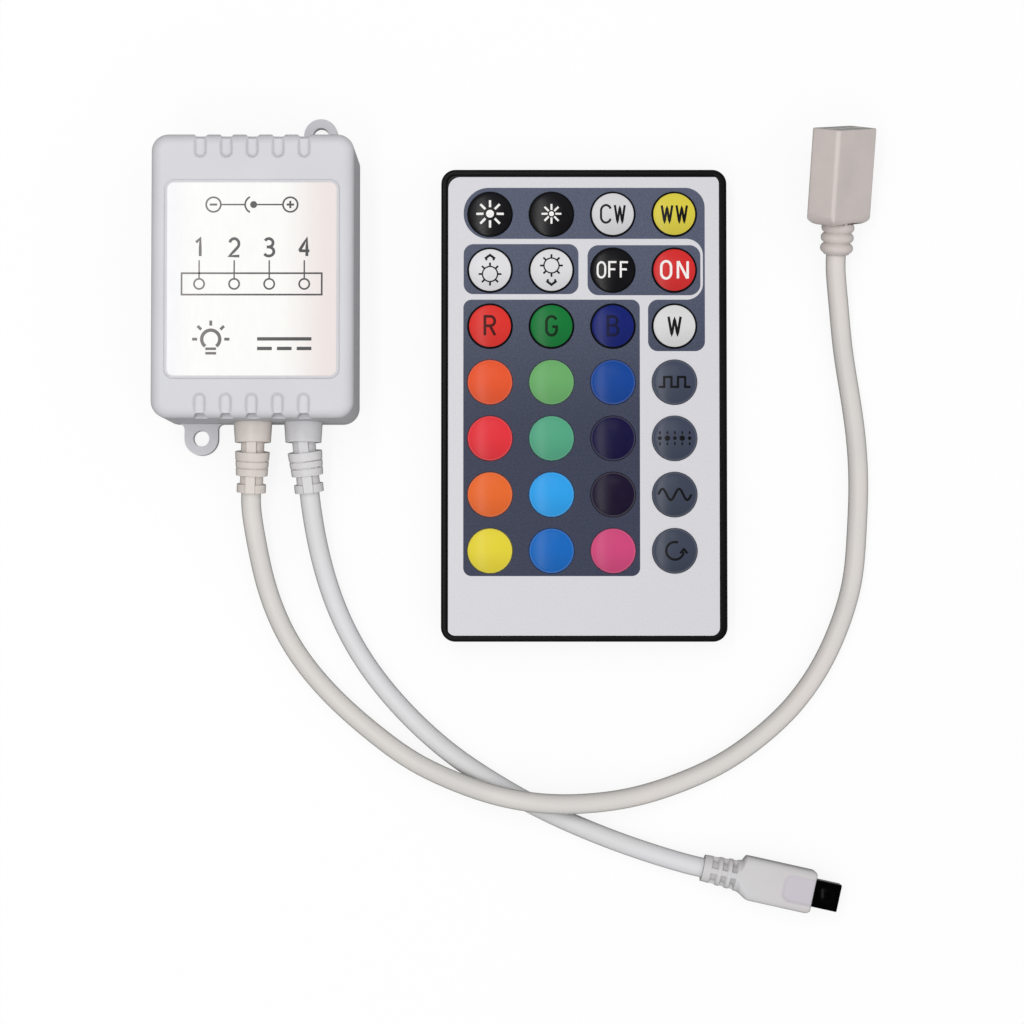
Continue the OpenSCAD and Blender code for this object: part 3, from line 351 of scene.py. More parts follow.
INK_BLACK, INK_WHITE, INK_MAROON, INK_FOREST, INK_MIDNIGHT = (
    Finish(f"ink_{name}", colour, shade, 0.4, blot=1, relief=0.001, sheen=0.2) for name, colour, shade in (
        ("black", "#0e0e12", "#15151a"),
        ("white", "#faf8f6", "#f0eeec"),
        ("maroon", "#4a0a08", "#560e0b"),
        ("forest", "#022a0d", "#053311"),
        ("midnight", "#0b0f38", "#10123f"),
    )
)


@dataclass(frozen=True)
class BoardFinish:
    """Green solder mask over copper tracks.

    Attributes:
        name: Name of the material.
        pitch: Distance between the tracks in millimetres.
        track: Width of a track, as a share of the pitch.
        relief: Height of a track in millimetres.
    """

    name: str = "board_green"
    pitch: float = 1.3
    track: float = 0.16
    relief: float = 0.035

    def material(self) -> bpy.types.Material:
        """Write the mask, with tracks that show a little lighter and raised.

        Returns:
            The material.
        """
        graph = Graph(self.name)
        brick = graph.node("ShaderNodeTexBrick", graph.place())
        brick.inputs["Scale"].default_value = 1 / (self.pitch * MM)
        brick.inputs["Mortar Size"].default_value = self.track
        track = brick.outputs["Fac"]
        graph.set(Base_Color=graph.mix(track, "#1f5a36", "#2f7a4a"), Roughness=0.3, Coat_Weight=0.4)
        graph.emboss(track, self.relief)
        return graph.material


@dataclass(frozen=True)
class LabelFinish:
    """Satin film or ink on the label, whose colour changes from its left side to its right as a painted
    sheen.

    Attributes:
        name: Name of the material.
        painted_sheen_left: Colour at the left side, part of the painted sheen.
        middle: Colour at the middle.
        painted_sheen_right: Colour at the right side, part of the painted sheen.
        left: Where the left colour ends and where the middle one is full, from the middle line.
        right: Where the middle colour ends and where the right one is full.
        grain: Share of the fine grain in the colour.
    """

    name: str
    painted_sheen_left: str
    middle: str
    painted_sheen_right: str
    left: Flat = (-14.0, -10.0)
    right: Flat = (4.0, 14.0)
    grain: float = 0.06

    def material(self) -> bpy.types.Material:
        """Write the film or ink, with fine streaks along the label and a painted sheen across it.

        Returns:
            The material.
        """
        graph = Graph(self.name)
        across = graph.axis(graph.place(), 0)
        film = graph.noise(size=0.5, detail=3, stretch=(1, 0.2, 1))
        # Painted sheen: the colour changes from left to right as a reflection would.
        colour = graph.mix(graph.spread(across, *(x * MM for x in self.left)), self.painted_sheen_left, self.middle)
        colour = graph.mix(graph.spread(across, *(x * MM for x in self.right)), colour, self.painted_sheen_right)
        graph.set(
            Base_Color=graph.mix(graph.math("MULTIPLY", film, self.grain), colour, "#d9d6d8"),
            Roughness=graph.spread(film, *NOISE_WIDE, start=0.28, end=0.36),
        )
        graph.emboss(film, depth=0.003)
        return graph.material


# The colours of both labels change from left to right as a painted sheen.
LABEL_FILM = LabelFinish("label_film", "#f3f3f5", "#f7f7f4", "#ebe1de")
LABEL_INK = LabelFinish("label_ink", "#767070", "#413e3f", "#2b2a2c", left=(-13.0, 1.0), right=(1.0, 9.0))
AnyFinish = Finish | BoardFinish | LabelFinish


@dataclass(frozen=True)
class Zone:
    """Rectangle with round corners on the remote's overlay, from the remote's centre.

    Attributes:
        left: Its left side.
        right: Its right side.
        near: Its side towards the battery tray.
        far: Its side towards the infrared end.
        radius: Radius of its corners.
    """

    left: float
    right: float
    near: float
    far: float
    radius: float

    def distance(self, graph: Graph, point: Socket) -> Socket:
        """Measure how far a point lies outside the zone, in metres, and less than zero inside.

        Args:
            graph: The material that the nodes go into.
            point: The point from the remote's centre, with no height.

        Returns:
            The distance.
        """
        centre = metres(((self.left + self.right) / 2, (self.near + self.far) / 2, 0))
        half = ((self.right - self.left) / 2, (self.far - self.near) / 2)
        reach = metres((half[0] - self.radius, half[1] - self.radius, 0))
        offset = graph.vector("ABSOLUTE", graph.vector("SUBTRACT", point, tuple(centre)))
        beyond = graph.vector("MAXIMUM", graph.vector("SUBTRACT", offset, tuple(reach)))
        return graph.math("SUBTRACT", graph.vector("LENGTH", beyond), self.radius * MM)


@dataclass(frozen=True)
class OverlayFinish:
    """Pale film with slate zones printed round groups of keys.

    Attributes:
        centre: The remote's centre.
        name: Name of the material.
        plain: Zones that are simply slate.
        ring: Zones that join to one slate area round the power keys.
        hole: Zone that stays pale inside that area.
        film: Zone that the black border leaves free.
        edge: Width of the print's soft edge.
        fade: Where the slate starts to darken and where it is darkest, from the remote's centre.
    """

    centre: Flat
    name: str = "overlay_film"
    plain: tuple[Zone, ...] = (
        Zone(-21.9, -1.0, 20.2, 29.35, 1.8),
        Zone(0.65, 21.2, 20.0, 29.15, 2.0),
        Zone(-21.95, 10.15, -31.1, 19.2, 1.5),
    )
    ring: tuple[Zone, ...] = (
        Zone(-21.9, 22.0, 30.3, 39.65, 4.6),
        Zone(14.0, 22.0, 9.8, 39.65, 3.6),
        Zone(11.65, 22.0, 9.8, 19.2, 1.8),
    )
    hole: Zone = Zone(-30.0, 21.65, 19.2, 30.3, 3.0)
    film: Zone = Zone(-24.7, 26.0, -43.0, 41.6, 2.2)
    edge: float = 0.06
    fade: Flat = (34.0, -10.0)

    def material(self) -> bpy.types.Material:
        """Write the film, the slate zones printed on it and the black border round it.

        Returns:
            The material.
        """
        graph = Graph(self.name)
        point = graph.in_plan(self.centre)
        area = self.joined(graph, [zone.distance(graph, point) for zone in self.ring])
        outside_hole = graph.math("MULTIPLY", self.hole.distance(graph, point), -1.0)
        area = graph.math("MAXIMUM", area, outside_hole)
        area = self.joined(graph, [area, *(zone.distance(graph, point) for zone in self.plain)])
        half = self.edge * MM / 2
        print_share = graph.spread(area, half, -half)
        border = graph.spread(self.film.distance(graph, point), -half, half)
        speckle = graph.spread(graph.noise(size=0.28), *NOISE_CORE)
        along = graph.axis(point, 1)
        dark = graph.spread(along, self.fade[1] * MM, self.fade[0] * MM, start=1.0, end=0.0)
        upper, lower = graph.mix(speckle, "#4f566b", "#5a6176"), graph.mix(speckle, "#333950", "#3d435a")
        slate = graph.mix(dark, upper, lower)
        film = graph.mix(speckle, "#dcdbe0", "#d8d7dc")
        graph.set(
            Base_Color=graph.mix(border, graph.mix(print_share, film, slate), "#09090b"),
            Roughness=graph.spread(print_share, 0, 1, start=0.36, end=0.42),
            Specular_IOR_Level=0.28,
        )
        graph.emboss(graph.noise(size=0.12), depth=0.003)
        return graph.material

    @staticmethod
    def joined(graph: Graph, distances: list[Socket]) -> Socket:
        """Join areas.

        Args:
            graph: The material that the nodes go into.
            distances: Distance to each area.

        Returns:
            The least of them, which is the distance to all the areas joined.
        """
        least = distances[0]
        for distance in distances[1:]:
            least = graph.math("MINIMUM", least, distance)
        return least


class Rim(Enum):
    """What the outer edge of a key's dome shows."""

    BLACK = "printed black ring"
    # The pale edge is a painted highlight along the dome's outer edge.
    PAINTED_HIGHLIGHT = "pale moulded edge"


@dataclass(frozen=True)
class KeyFinish:
    """Glossy printed dome of one key.

    Attributes:
        name: Name of the material.
        colour: Colour of the dome.
        centre: Centre of the key in plan.
        rim: What the dome's outer edge shows.
        sheen: Level of its mirror-like reflection.
        painted_shade: Share by which the colour darkens towards the key's near side, a painted shade where
            its dome slopes away.
        painted_shade_from: Height in plan, from the centre, where that painted shade starts and where it is
            full.
        rim_start: Distance from the centre where the edge starts.
        soft: Width over which it starts.
        pale: Share of white at a pale edge.
        blots: Share of grey in the dome's soft blots.
    """

    name: str
    colour: str
    centre: Flat
    rim: Rim
    sheen: float
    painted_shade: float = 0.2
    painted_shade_from: Flat = (1.5, -4.5)
    rim_start: float = 3.74
    soft: float = 0.1
    # pale: Share of white in the painted highlight at a pale edge.
    pale: float = 0.05
    blots: float = 0.03

    def material(self) -> bpy.types.Material:
        """Write the dome, with its soft blots, painted shade on its near side, and its outer edge, which is
        a printed black ring on some keys and a painted highlight on the others.

        Returns:
            The material.
        """
        graph = Graph(self.name)
        point = graph.in_plan(self.centre)
        reach = graph.vector("LENGTH", point)
        edge = graph.spread(reach, self.rim_start * MM, (self.rim_start + self.soft) * MM)
        blots = graph.math("MULTIPLY", graph.noise(size=1.6, detail=3), self.blots)
        body = graph.mix(blots, self.colour, "#8a8a90")
        # Painted shade: the dome darkens towards its near side, where it slopes away.
        along = graph.axis(point, 1)
        near = graph.spread(along, self.painted_shade_from[0] * MM, self.painted_shade_from[1] * MM, end=self.painted_shade)
        body = graph.mix(near, body, "#060608")
        if self.rim is Rim.BLACK:
            colour = graph.mix(edge, body, "#08080a")
        else:
            # Painted highlight: a little white at the dome's outer edge.
            colour = graph.mix(graph.math("MULTIPLY", edge, self.pale), body, "#f2f2f4")
        graph.set(Base_Color=colour, Roughness=0.28, Specular_IOR_Level=self.sheen)
        graph.emboss(graph.noise(size=0.3), depth=0.002)
        return graph.material


def soften(obj: bpy.types.Object, width: float) -> None:
    """Round a solid's sharp edges with modifiers, which leave its own mesh as it is.

    Args:
        obj: The solid.
        width: Width of the rounding in millimetres.
    """
    weld = obj.modifiers.new("weld", "WELD")
    weld.merge_threshold = WELD_REACH
    flat = obj.modifiers.new("flat", "DECIMATE")
    flat.decimate_type = "DISSOLVE"
    flat.angle_limit = math.radians(FLAT_ANGLE)
    bevel = obj.modifiers.new("bevel", "BEVEL")
    bevel.width = width * MM
    bevel.segments = EDGE_STEPS
    bevel.limit_method = "ANGLE"
    bevel.angle_limit = math.radians(EDGE_ANGLE)
    bevel.use_clamp_overlap = False
    normal = obj.modifiers.new("normal", "WEIGHTED_NORMAL")
    normal.keep_sharp = True


def dress(node: str, material: bpy.types.Material, edge: float) -> None:
    """Give a solid its material and round its edges.

    Args:
        node: Name of the solid.
        material: Its material.
        edge: Width of its rounded edges in millimetres, or zero for none.
    """
    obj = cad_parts[node]
    obj.data.materials.clear()
    obj.data.materials.append(material)
    if edge:
        soften(obj, edge)
    log.info("dressed %s with %s", node, material.name)


def materials(finishes: Iterable[AnyFinish]) -> dict[AnyFinish, bpy.types.Material]:
    """Make one material for each different finish."""
    return {finish: finish.material() for finish in dict.fromkeys(finishes)}


def dress_all(pieces: dict[str, tuple[AnyFinish, float]]) -> None:
    """Dress several solids.

    Args:
        pieces: For each solid's name, its finish and the width of its rounded edges.
    """
    made = materials(finish for finish, _ in pieces.values())
    for node, (finish, edge) in pieces.items():
        dress(node, made[finish], edge)


def add_mesh(name: str, points: list[Vector], faces: list[tuple[int, ...]], material: bpy.types.Material,
             smooth: bool = True) -> bpy.types.Object:
    """Make an object of points and faces.

    Args:
        name: Name of the piece.
        points: Its corners in metres.
        faces: Its faces, each a run of indices of points.
        material: Its material.
        smooth: Whether it is shaded smooth.

    Returns:
        The new object, with its faces pointing outwards.
    """
    mesh = bpy.data.meshes.new(name)
    mesh.from_pydata(points, [], faces)
    shape = bmesh.new()
    shape.from_mesh(mesh)
    bmesh.ops.recalc_face_normals(shape, faces=shape.faces)
    shape.to_mesh(mesh)
    shape.free()
    mesh.polygons.foreach_set("use_smooth", [smooth] * len(mesh.polygons))
    mesh.materials.append(material)
    obj = bpy.data.objects.new(name, mesh)
    bpy.context.scene.collection.objects.link(obj)
    return obj


@dataclass(frozen=True)
class Lamp:
    """One soft lamp overhead.

    Attributes:
        name: Its name.
        place: Where its centre hangs.
        size: Its width and length.
        power: Its power in watts.
    """

    name: str
    place: Point
    size: Flat
    power: float

    def hang(self) -> None:
        """Hang the lamp, unseen by the camera, so that it shines straight down."""
        lamp = bpy.data.objects.new(self.name, bpy.data.lights.new(self.name, "AREA"))
        lamp.data.shape = "RECTANGLE"
        lamp.data.size, lamp.data.size_y = (side * MM for side in self.size)
        lamp.data.energy = self.power
        lamp.location = metres(self.place)
        lamp.visible_camera = False
        bpy.context.scene.collection.objects.link(lamp)
        log.info("%s at %s", self.name, self.place)


@dataclass
class Studio:
    """Camera, lamps, sky and floor.

    Attributes:
        eye: Where the camera stands.
        aim: What it looks at.
        lens: Its focal length, on a sensor 36 mm wide.
        lamps: The soft lamps.
        sky: Level of the sky's light at its horizon and overhead.
        lean: How much stronger it is on each side, along each axis.
        gloss: Level of the sky that shiny surfaces mirror, at its horizon and overhead.
        white: Share of the floor that is plain white to the camera.
        mirrored_white: The same share in what shiny surfaces mirror.
        floor_drop: How far the floor lies under the object.
        floor_size: Side of the floor.
    """

    eye: Point = (46.05, -57.5, 480.0)
    aim: Point = (46.05, -41.3, 0.0)
    lens: float = 91.8
    lamps: tuple[Lamp, ...] = (
        Lamp("strip_lamp", (-70.0, 0.0, 500.0), (56.0, 600.0), 0.8),
        Lamp("small_lamp", (80.0, 150.0, 480.0), (60.0, 60.0), 0.05),
    )
    sky: Flat = (0.31, 0.93)
    lean: Point = (0.18, -0.2, 0.0)
    gloss: Flat = (0.4, 0.03)
    white: float = 0.86
    mirrored_white: float = 0.25
    floor_drop: float = 0.02
    floor_size: float = 8000.0

    def build(self) -> None:
        """Make the camera, the lamps, the sky and the floor."""
        self.place_camera()
        for lamp in self.lamps:
            lamp.hang()
        self.paint_sky()
        self.lay_floor()
        bpy.context.scene.view_settings.view_transform = "Standard"

    def place_camera(self) -> None:
        """Stand the camera where the photograph was taken from."""
        camera = bpy.data.objects.new("camera", bpy.data.cameras.new("camera"))
        camera.data.lens = self.lens
        camera.location = metres(self.eye)
        camera.rotation_mode = "QUATERNION"
        camera.rotation_quaternion = (camera.location - metres(self.aim)).to_track_quat("Z", "Y")
        bpy.context.scene.collection.objects.link(camera)
        bpy.context.scene.camera = camera
        log.info("camera at %s", self.eye)

    def paint_sky(self) -> None:
        """Paint a sky that is white to the camera and a soft dome of light to the object."""
        world = bpy.data.worlds.new("sky")
        world.use_nodes = True
        bpy.context.scene.world = world
        sky = Tree(world.node_tree)
        turn = sky.node("ShaderNodeTexCoord").outputs["Generated"]
        height = sky.axis(turn, 2)
        side = sky.vector("DOT_PRODUCT", turn, self.lean)
        level = sky.math("ADD", sky.spread(height, 0.0, 1.0, *self.sky, kind="LINEAR"), side)
        paths = sky.node("ShaderNodeLightPath").outputs
        gloss = sky.spread(height, 0.0, 1.0, *self.gloss, kind="LINEAR")
        level = sky.choose(paths["Is Glossy Ray"], level, gloss)
        level = sky.choose(paths["Is Transmission Ray"], level, 1.0)
        level = sky.choose(paths["Is Camera Ray"], level, 1.0)
        background = world.node_tree.nodes["Background"].inputs
        sky.feed(background["Color"], WHITE)
        sky.feed(background["Strength"], level)

    def lay_floor(self) -> None:
        """Lay a plain pale floor that keeps a faint shadow."""
        graph = Graph("floor")
        paths = graph.node("ShaderNodeLightPath").outputs
        share = graph.math("MULTIPLY", paths["Is Camera Ray"], self.white)
        mirrored = graph.math("MULTIPLY", paths["Is Glossy Ray"], self.mirrored_white)
        share = graph.math("MAXIMUM", share, mirrored)
        share = graph.math("MAXIMUM", share, paths["Is Transmission Ray"])
        colour = graph.mix(paths["Is Camera Ray"], "#8a8a8a", WHITE)
        graph.set(Base_Color=colour, Roughness=0.9, Specular_IOR_Level=0.0)
        white = graph.node("ShaderNodeEmission", WHITE, 1.0).outputs[0]
        surface = graph.node("ShaderNodeMixShader", share, graph.shader.outputs[0], white)
        graph.feed(graph.tree.nodes["Material Output"].inputs["Surface"], surface.outputs[0])
        half = self.floor_size / 2
        corners = [(-half, -half), (half, -half), (half, half), (-half, half)]
        points = [metres((x, y, -self.floor_drop)) for x, y in corners]
        floor = add_mesh("floor", points, [(0, 1, 2, 3)], graph.material, smooth=False)


@dataclass
class Lead:
    """One round lead that lies on the table.

    Attributes:
        name: Name of its sheath.
        node: Solid that the sheath stands for.
        route: Points of its route on the table.
        start: Where it leaves its gland.
        start_turn: Direction there.
        end: Where it meets what is on its far end.
        end_turn: Direction there.
        pieces: Solids on it or at its gland; not used.
        finish: Finish of its sheath.
        body: Body that it rides on.
        diameter: Its diameter.
        straight: Length of its straight run at each end.
        steps: Points of the drawn line to each point of the route.
    """

    name: str
    node: str
    route: list[Point]
    start: Point
    start_turn: Point
    end: Point
    end_turn: Point
    pieces: list[str]
    finish: Finish
    body: str = "controller"
    diameter: float = 3.6
    straight: float = 3.0
    steps: int = 8

    def line(self) -> list[Vector]:
        """Draw the lead's smooth line from its gland, along its route, to its far end.

        Returns:
            Its points, in millimetres.
        """
        start, end = Vector(self.start), Vector(self.end)
        knots = [start, start + self.straight * Vector(self.start_turn), *map(Vector, self.route)]
        knots += [end - self.straight * Vector(self.end_turn), end]
        knots = [2 * knots[0] - knots[1], *knots, 2 * knots[-1] - knots[-2]]
        points = []
        for i in range(len(knots) - 3):
            points += [self.between(knots[i:i + 4], step / self.steps) for step in range(self.steps)]
        return [*points, self.between(knots[-4:], 1.0)]

    @staticmethod
    def between(knots: list[Vector], t: float) -> Vector:
        """Return the point at share t of the span between the middle two of four knots."""
        weights = ((1 - t) ** 3, 3 * t ** 3 - 6 * t ** 2 + 4, 3 * t + 3 * t ** 2 - 3 * t ** 3 + 1, t ** 3)
        return sum((w * k for w, k in zip(weights, knots)), Vector((0, 0, 0))) / 6

    def build(self) -> None:
        points = self.line()
        curve = bpy.data.curves.new(self.name, "CURVE")
        curve.dimensions = "3D"
        curve.bevel_depth = self.diameter / 2 * MM
        curve.bevel_resolution = SHEATH_STEPS
        curve.use_fill_caps = True
        spline = curve.splines.new("POLY")
        spline.points.add(len(points) - 1)
        for place, point in zip(spline.points, points):
            place.co = (*metres(point), 1.0)
        spline.use_smooth = True
        curve.materials.append(self.finish.material())
        sheath = bpy.data.objects.new(self.name, curve)
        bpy.context.scene.collection.objects.link(sheath)
        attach(sheath, self.body)
        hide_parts(self.node)


@dataclass
class Stroke:
    """One pen stroke of a printed sign.

    Attributes:
        points: Points along the stroke.
        closed: Whether it runs back to its first point.
    """

    points: list[Flat]
    closed: bool = False

    def fitted(self, width: float, height: float, centre: Flat) -> "Stroke":
        """Return the stroke, drawn in a unit square, at a real size about a centre."""
        return Stroke([(centre[0] + (x - 0.5) * width, centre[1] + (y - 0.5) * height)
                       for x, y in self.points], self.closed)

    def resampled(self, step: float) -> list[Vector]:
        """Lay points along the stroke.

        Args:
            step: Greatest distance between two of them.

        Returns:
            The points, the stroke's own corners among them.
        """
        corners = [Vector(p) for p in self.points]
        ends = zip(corners, corners[1:] + corners[:1]) if self.closed else zip(corners, corners[1:])
        points = []
        for a, b in ends:
            count = max(1, math.ceil((b - a).length / step))
            points += [a.lerp(b, i / count) for i in range(count)]
        return points if self.closed else [*points, corners[-1]]


def arc(centre: Flat, radii: Flat, start: float, end: float, count: int = 14) -> list[Flat]:
    """Lay points along an ellipse's arc.

    Args:
        centre: Its centre.
        radii: Its radius along each axis.
        start: Angle of the first point in degrees.
        end: Angle of the last point.
        count: Number of steps between them.

    Returns:
        The points, both ends among them.
    """
    turns = [math.radians(start + (end - start) * i / count) for i in range(count + 1)]
    return [(centre[0] + radii[0] * math.cos(a), centre[1] + radii[1] * math.sin(a)) for a in turns]


def circle(centre: Flat, radius: float) -> Stroke:
    """Return a closed round stroke."""
    return Stroke(arc(centre, (radius, radius), 0, 360, CIRCLE_STEPS)[:-1], closed=True)


GLYPHS: dict[str, list[Stroke]] = {
    "C": [Stroke([*arc((0.5, 0.68), (0.5, 0.32), 20, 180), *arc((0.5, 0.32), (0.5, 0.32), 180, 340)])],
    "W": [Stroke([(0, 1), (0.26, 0), (0.5, 0.9), (0.74, 0), (1, 1)])],
    "O": [Stroke([*arc((0.5, 0.66), (0.5, 0.34), 0, 180), *arc((0.5, 0.34), (0.5, 0.34), 180, 360)],
                 closed=True)],
    "F": [Stroke([(0.95, 1), (0, 1), (0, 0)]), Stroke([(0, 0.53), (0.8, 0.53)])],
    "N": [Stroke([(0, 0), (0, 1)]), Stroke([(0.04, 1), (0.96, 0)]), Stroke([(1, 0), (1, 1)])],
    "R": [Stroke([(0, 0), (0, 1), (0.5, 1), *arc((0.55, 0.75), (0.42, 0.25), 90, -90, 10), (0, 0.5)]),
          Stroke([(0.5, 0.5), (1, 0)])],
    "G": [Stroke([*arc((0.5, 0.7), (0.5, 0.3), 25, 180), *arc((0.5, 0.3), (0.5, 0.3), 180, 360), (1, 0.45),
                  (0.58, 0.45)])],
    "B": [Stroke([(0, 0.5), (0, 1), (0.5, 1), *arc((0.52, 0.76), (0.4, 0.24), 90, -90, 10), (0, 0.52)]),
          Stroke([(0, 0.52), (0.5, 0.52), *arc((0.54, 0.26), (0.46, 0.26), 90, -90, 10), (0, 0),
                  (0, 0.52)])],
    "1": [Stroke([(0.2, 0.78), (0.6, 1), (0.6, 0)])],
    "2": [Stroke([*arc((0.5, 0.7), (0.46, 0.3), 165, -35), (0.04, 0), (1, 0)])],
    "3": [Stroke([*arc((0.45, 0.76), (0.42, 0.24), 150, -90, 12), (0.25, 0.52)]),
          Stroke([(0.25, 0.52), *arc((0.45, 0.26), (0.5, 0.26), 90, -150, 12)])],
    "4": [Stroke([(0.75, 0), (0.75, 1), (0, 0.3)]), Stroke([(0, 0.3), (1, 0.3)])],
}


def lettered(text: str, width: float, height: float, gap: float, centre: Flat = (0.0, 0.0)) -> list[Stroke]:
    """Lay out a short legend.

    Args:
        text: Its letters or digits, each in GLYPHS.
        width: Width of one letter.
        height: Height of a letter.
        gap: Distance between letters.
        centre: Centre of the whole legend.

    Returns:
        Its strokes.
    """
    strokes = []
    for i, letter in enumerate(text):
        x = centre[0] + (i - (len(text) - 1) / 2) * (width + gap)
        strokes += [stroke.fitted(width, height, (x, centre[1])) for stroke in GLYPHS[letter]]
    return strokes


def rays(centre: Flat, inner: float, outer: float) -> list[Stroke]:
    """Draw short strokes that point away from a centre.

    Args:
        centre: The centre.
        inner: Distance at which they start.
        outer: Distance at which they end.

    Returns:
        The strokes.
    """
    turns = [2 * math.pi * i / RAY_COUNT for i in range(RAY_COUNT)]
    return [Stroke([(centre[0] + r * math.cos(a), centre[1] + r * math.sin(a)) for r in (inner, outer)])
            for a in turns]


@dataclass
class Print:
    """Thin ink laid on a surface.

    Attributes:
        name: Name of the piece.
        material: Its ink.
        surface: Height of the surface at a point in plan, in millimetres.
        centre: Centre of the print in plan.
        lift: How far the ink's top stands above the surface.
        sink: How far its underside lies below the lowest top.
        step: Longest side of a face.
        stagger: How much higher a stroke lies than the one before, so that two never share a plane.
        levels: Number of strokes after which the heights start again.
        mitre: Least cosine of half a corner's turn that its mitre follows.
        strokes: Number of strokes laid so far.
        points: Corners of the ink so far.
        faces: Its faces so far.
    """

    name: str
    material: bpy.types.Material
    surface: Callable[[float, float], float]
    centre: Flat
    lift: float = 0.014
    sink: float = 0.03
    step: float = 0.4
    stagger: float = 0.003
    levels: int = 4
    mitre: float = 0.62
    strokes: int = 0
    points: list[Vector] = field(default_factory=list)
    faces: list[tuple[int, ...]] = field(default_factory=list)

    def add_layer(self, flat: list[Vector]) -> tuple[list[int], list[int]]:
        """Add the upper and the lower copy of some points.

        Args:
            flat: The points, in plan from the print's centre.

        Returns:
            The indices of the upper copy and of the lower one.
        """
        first = len(self.points)
        top = self.lift + self.stagger * (self.strokes % self.levels)
        for level in (top, self.lift - self.sink):
            for p in flat:
                x, y = self.centre[0] + p[0], self.centre[1] + p[1]
                self.points.append(metres((x, y, self.surface(x, y) + level)))
        self.strokes += 1
        count = len(flat)
        return list(range(first, first + count)), list(range(first + count, first + 2 * count))

    def add_stroke(self, stroke: Stroke, width: float) -> None:
        """Add a stroke of one width, with mitred corners and square ends.

        Args:
            stroke: The stroke.
            width: Its width.
        """
        line = stroke.resampled(self.step)
        count = len(line)
        left, right = [], []
        for i, here in enumerate(line):
            before = line[i - 1] if i or stroke.closed else here
            after = line[(i + 1) % count] if i < count - 1 or stroke.closed else here
            come = (here - before).normalized() if here != before else (after - here).normalized()
            leave = (after - here).normalized() if here != after else come
            middle = (come + leave).normalized()
            side = Vector((-middle.y, middle.x))
            reach = width / 2 / max(self.mitre, side.dot(Vector((-come.y, come.x))))
            left.append(here + side * reach)
            right.append(here - side * reach)
        upper, lower = self.add_layer(left + right)
        spans = range(count) if stroke.closed else range(count - 1)
        for i in spans:
            j = (i + 1) % count
            a, b, c, d = i, j, count + j, count + i
            self.faces += [
                (upper[a], upper[b], upper[c], upper[d]),
                (lower[d], lower[c], lower[b], lower[a]),
                (upper[b], upper[a], lower[a], lower[b]),
                (upper[d], upper[c], lower[c], lower[d]),
            ]
        if not stroke.closed:
            for i in (0, count - 1):
                self.faces.append((upper[i], upper[count + i], lower[count + i], lower[i]))

    def line(self, points: list[Flat], width: float, closed: bool = False) -> None:
        """Add a stroke through some points."""
        self.add_stroke(Stroke(points, closed), width)

    def add_disc(self, centre: Flat, radius: float) -> None:
        """Add a filled round spot, in two rings so that it follows a curved surface.

        Args:
            centre: Its centre.
            radius: Its radius.
        """
        flat = [Vector(centre)]
        for share in (0.5, 1.0):
            radii = (radius * share, radius * share)
            flat += [Vector(p) for p in arc(centre, radii, 0, 360, DISC_STEPS)[:-1]]
        upper, lower = self.add_layer(flat)
        for i in range(DISC_STEPS):
            a, b = 1 + i, 1 + (i + 1) % DISC_STEPS
            c, d = a + DISC_STEPS, b + DISC_STEPS
            for side in (upper, lower):
                self.faces += [(side[0], side[a], side[b]), (side[a], side[c], side[d], side[b])]
            self.faces.append((upper[d], upper[c], lower[c], lower[d]))

    def build(self, body: str, slot: str) -> None:
        """Make the ink as one piece that rides on a body.

        Args:
            body: The body.
            slot: Not used.
        """
        obj = add_mesh(self.name, self.points, self.faces, self.material, smooth=False)
        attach(obj, body)
        log.info("printed %s with %d faces", self.name, len(self.faces))


BOX_PIECES: dict[str, tuple[AnyFinish, float]] = {
    "label": (LABEL_FILM, 0.0),
    "circuit_board": (BoardFinish(), 0.08),
    "cover_screws": (STEEL, 0.08),
    "power_jack": (JACK_BLACK, 0.12),
    "jack_centre_pin": (PIN_METAL, 0.0),
    "jack_spring_contact": (BRASS, 0.05),
    "channel_transistors": (CHIP_EPOXY, 0.05),
    "microcontroller": (CHIP_EPOXY, 0.05),
    "memory_chip": (CHIP_EPOXY, 0.05),
    "voltage_regulator": (CHIP_EPOXY, 0.05),
    "smoothing_capacitor": (CAPACITOR_SLEEVE, 0.15),
    "output_wires": (WIRE_RED, 0.0),
    "sensor_wires": (WIRE_CREAM, 0.0),
}


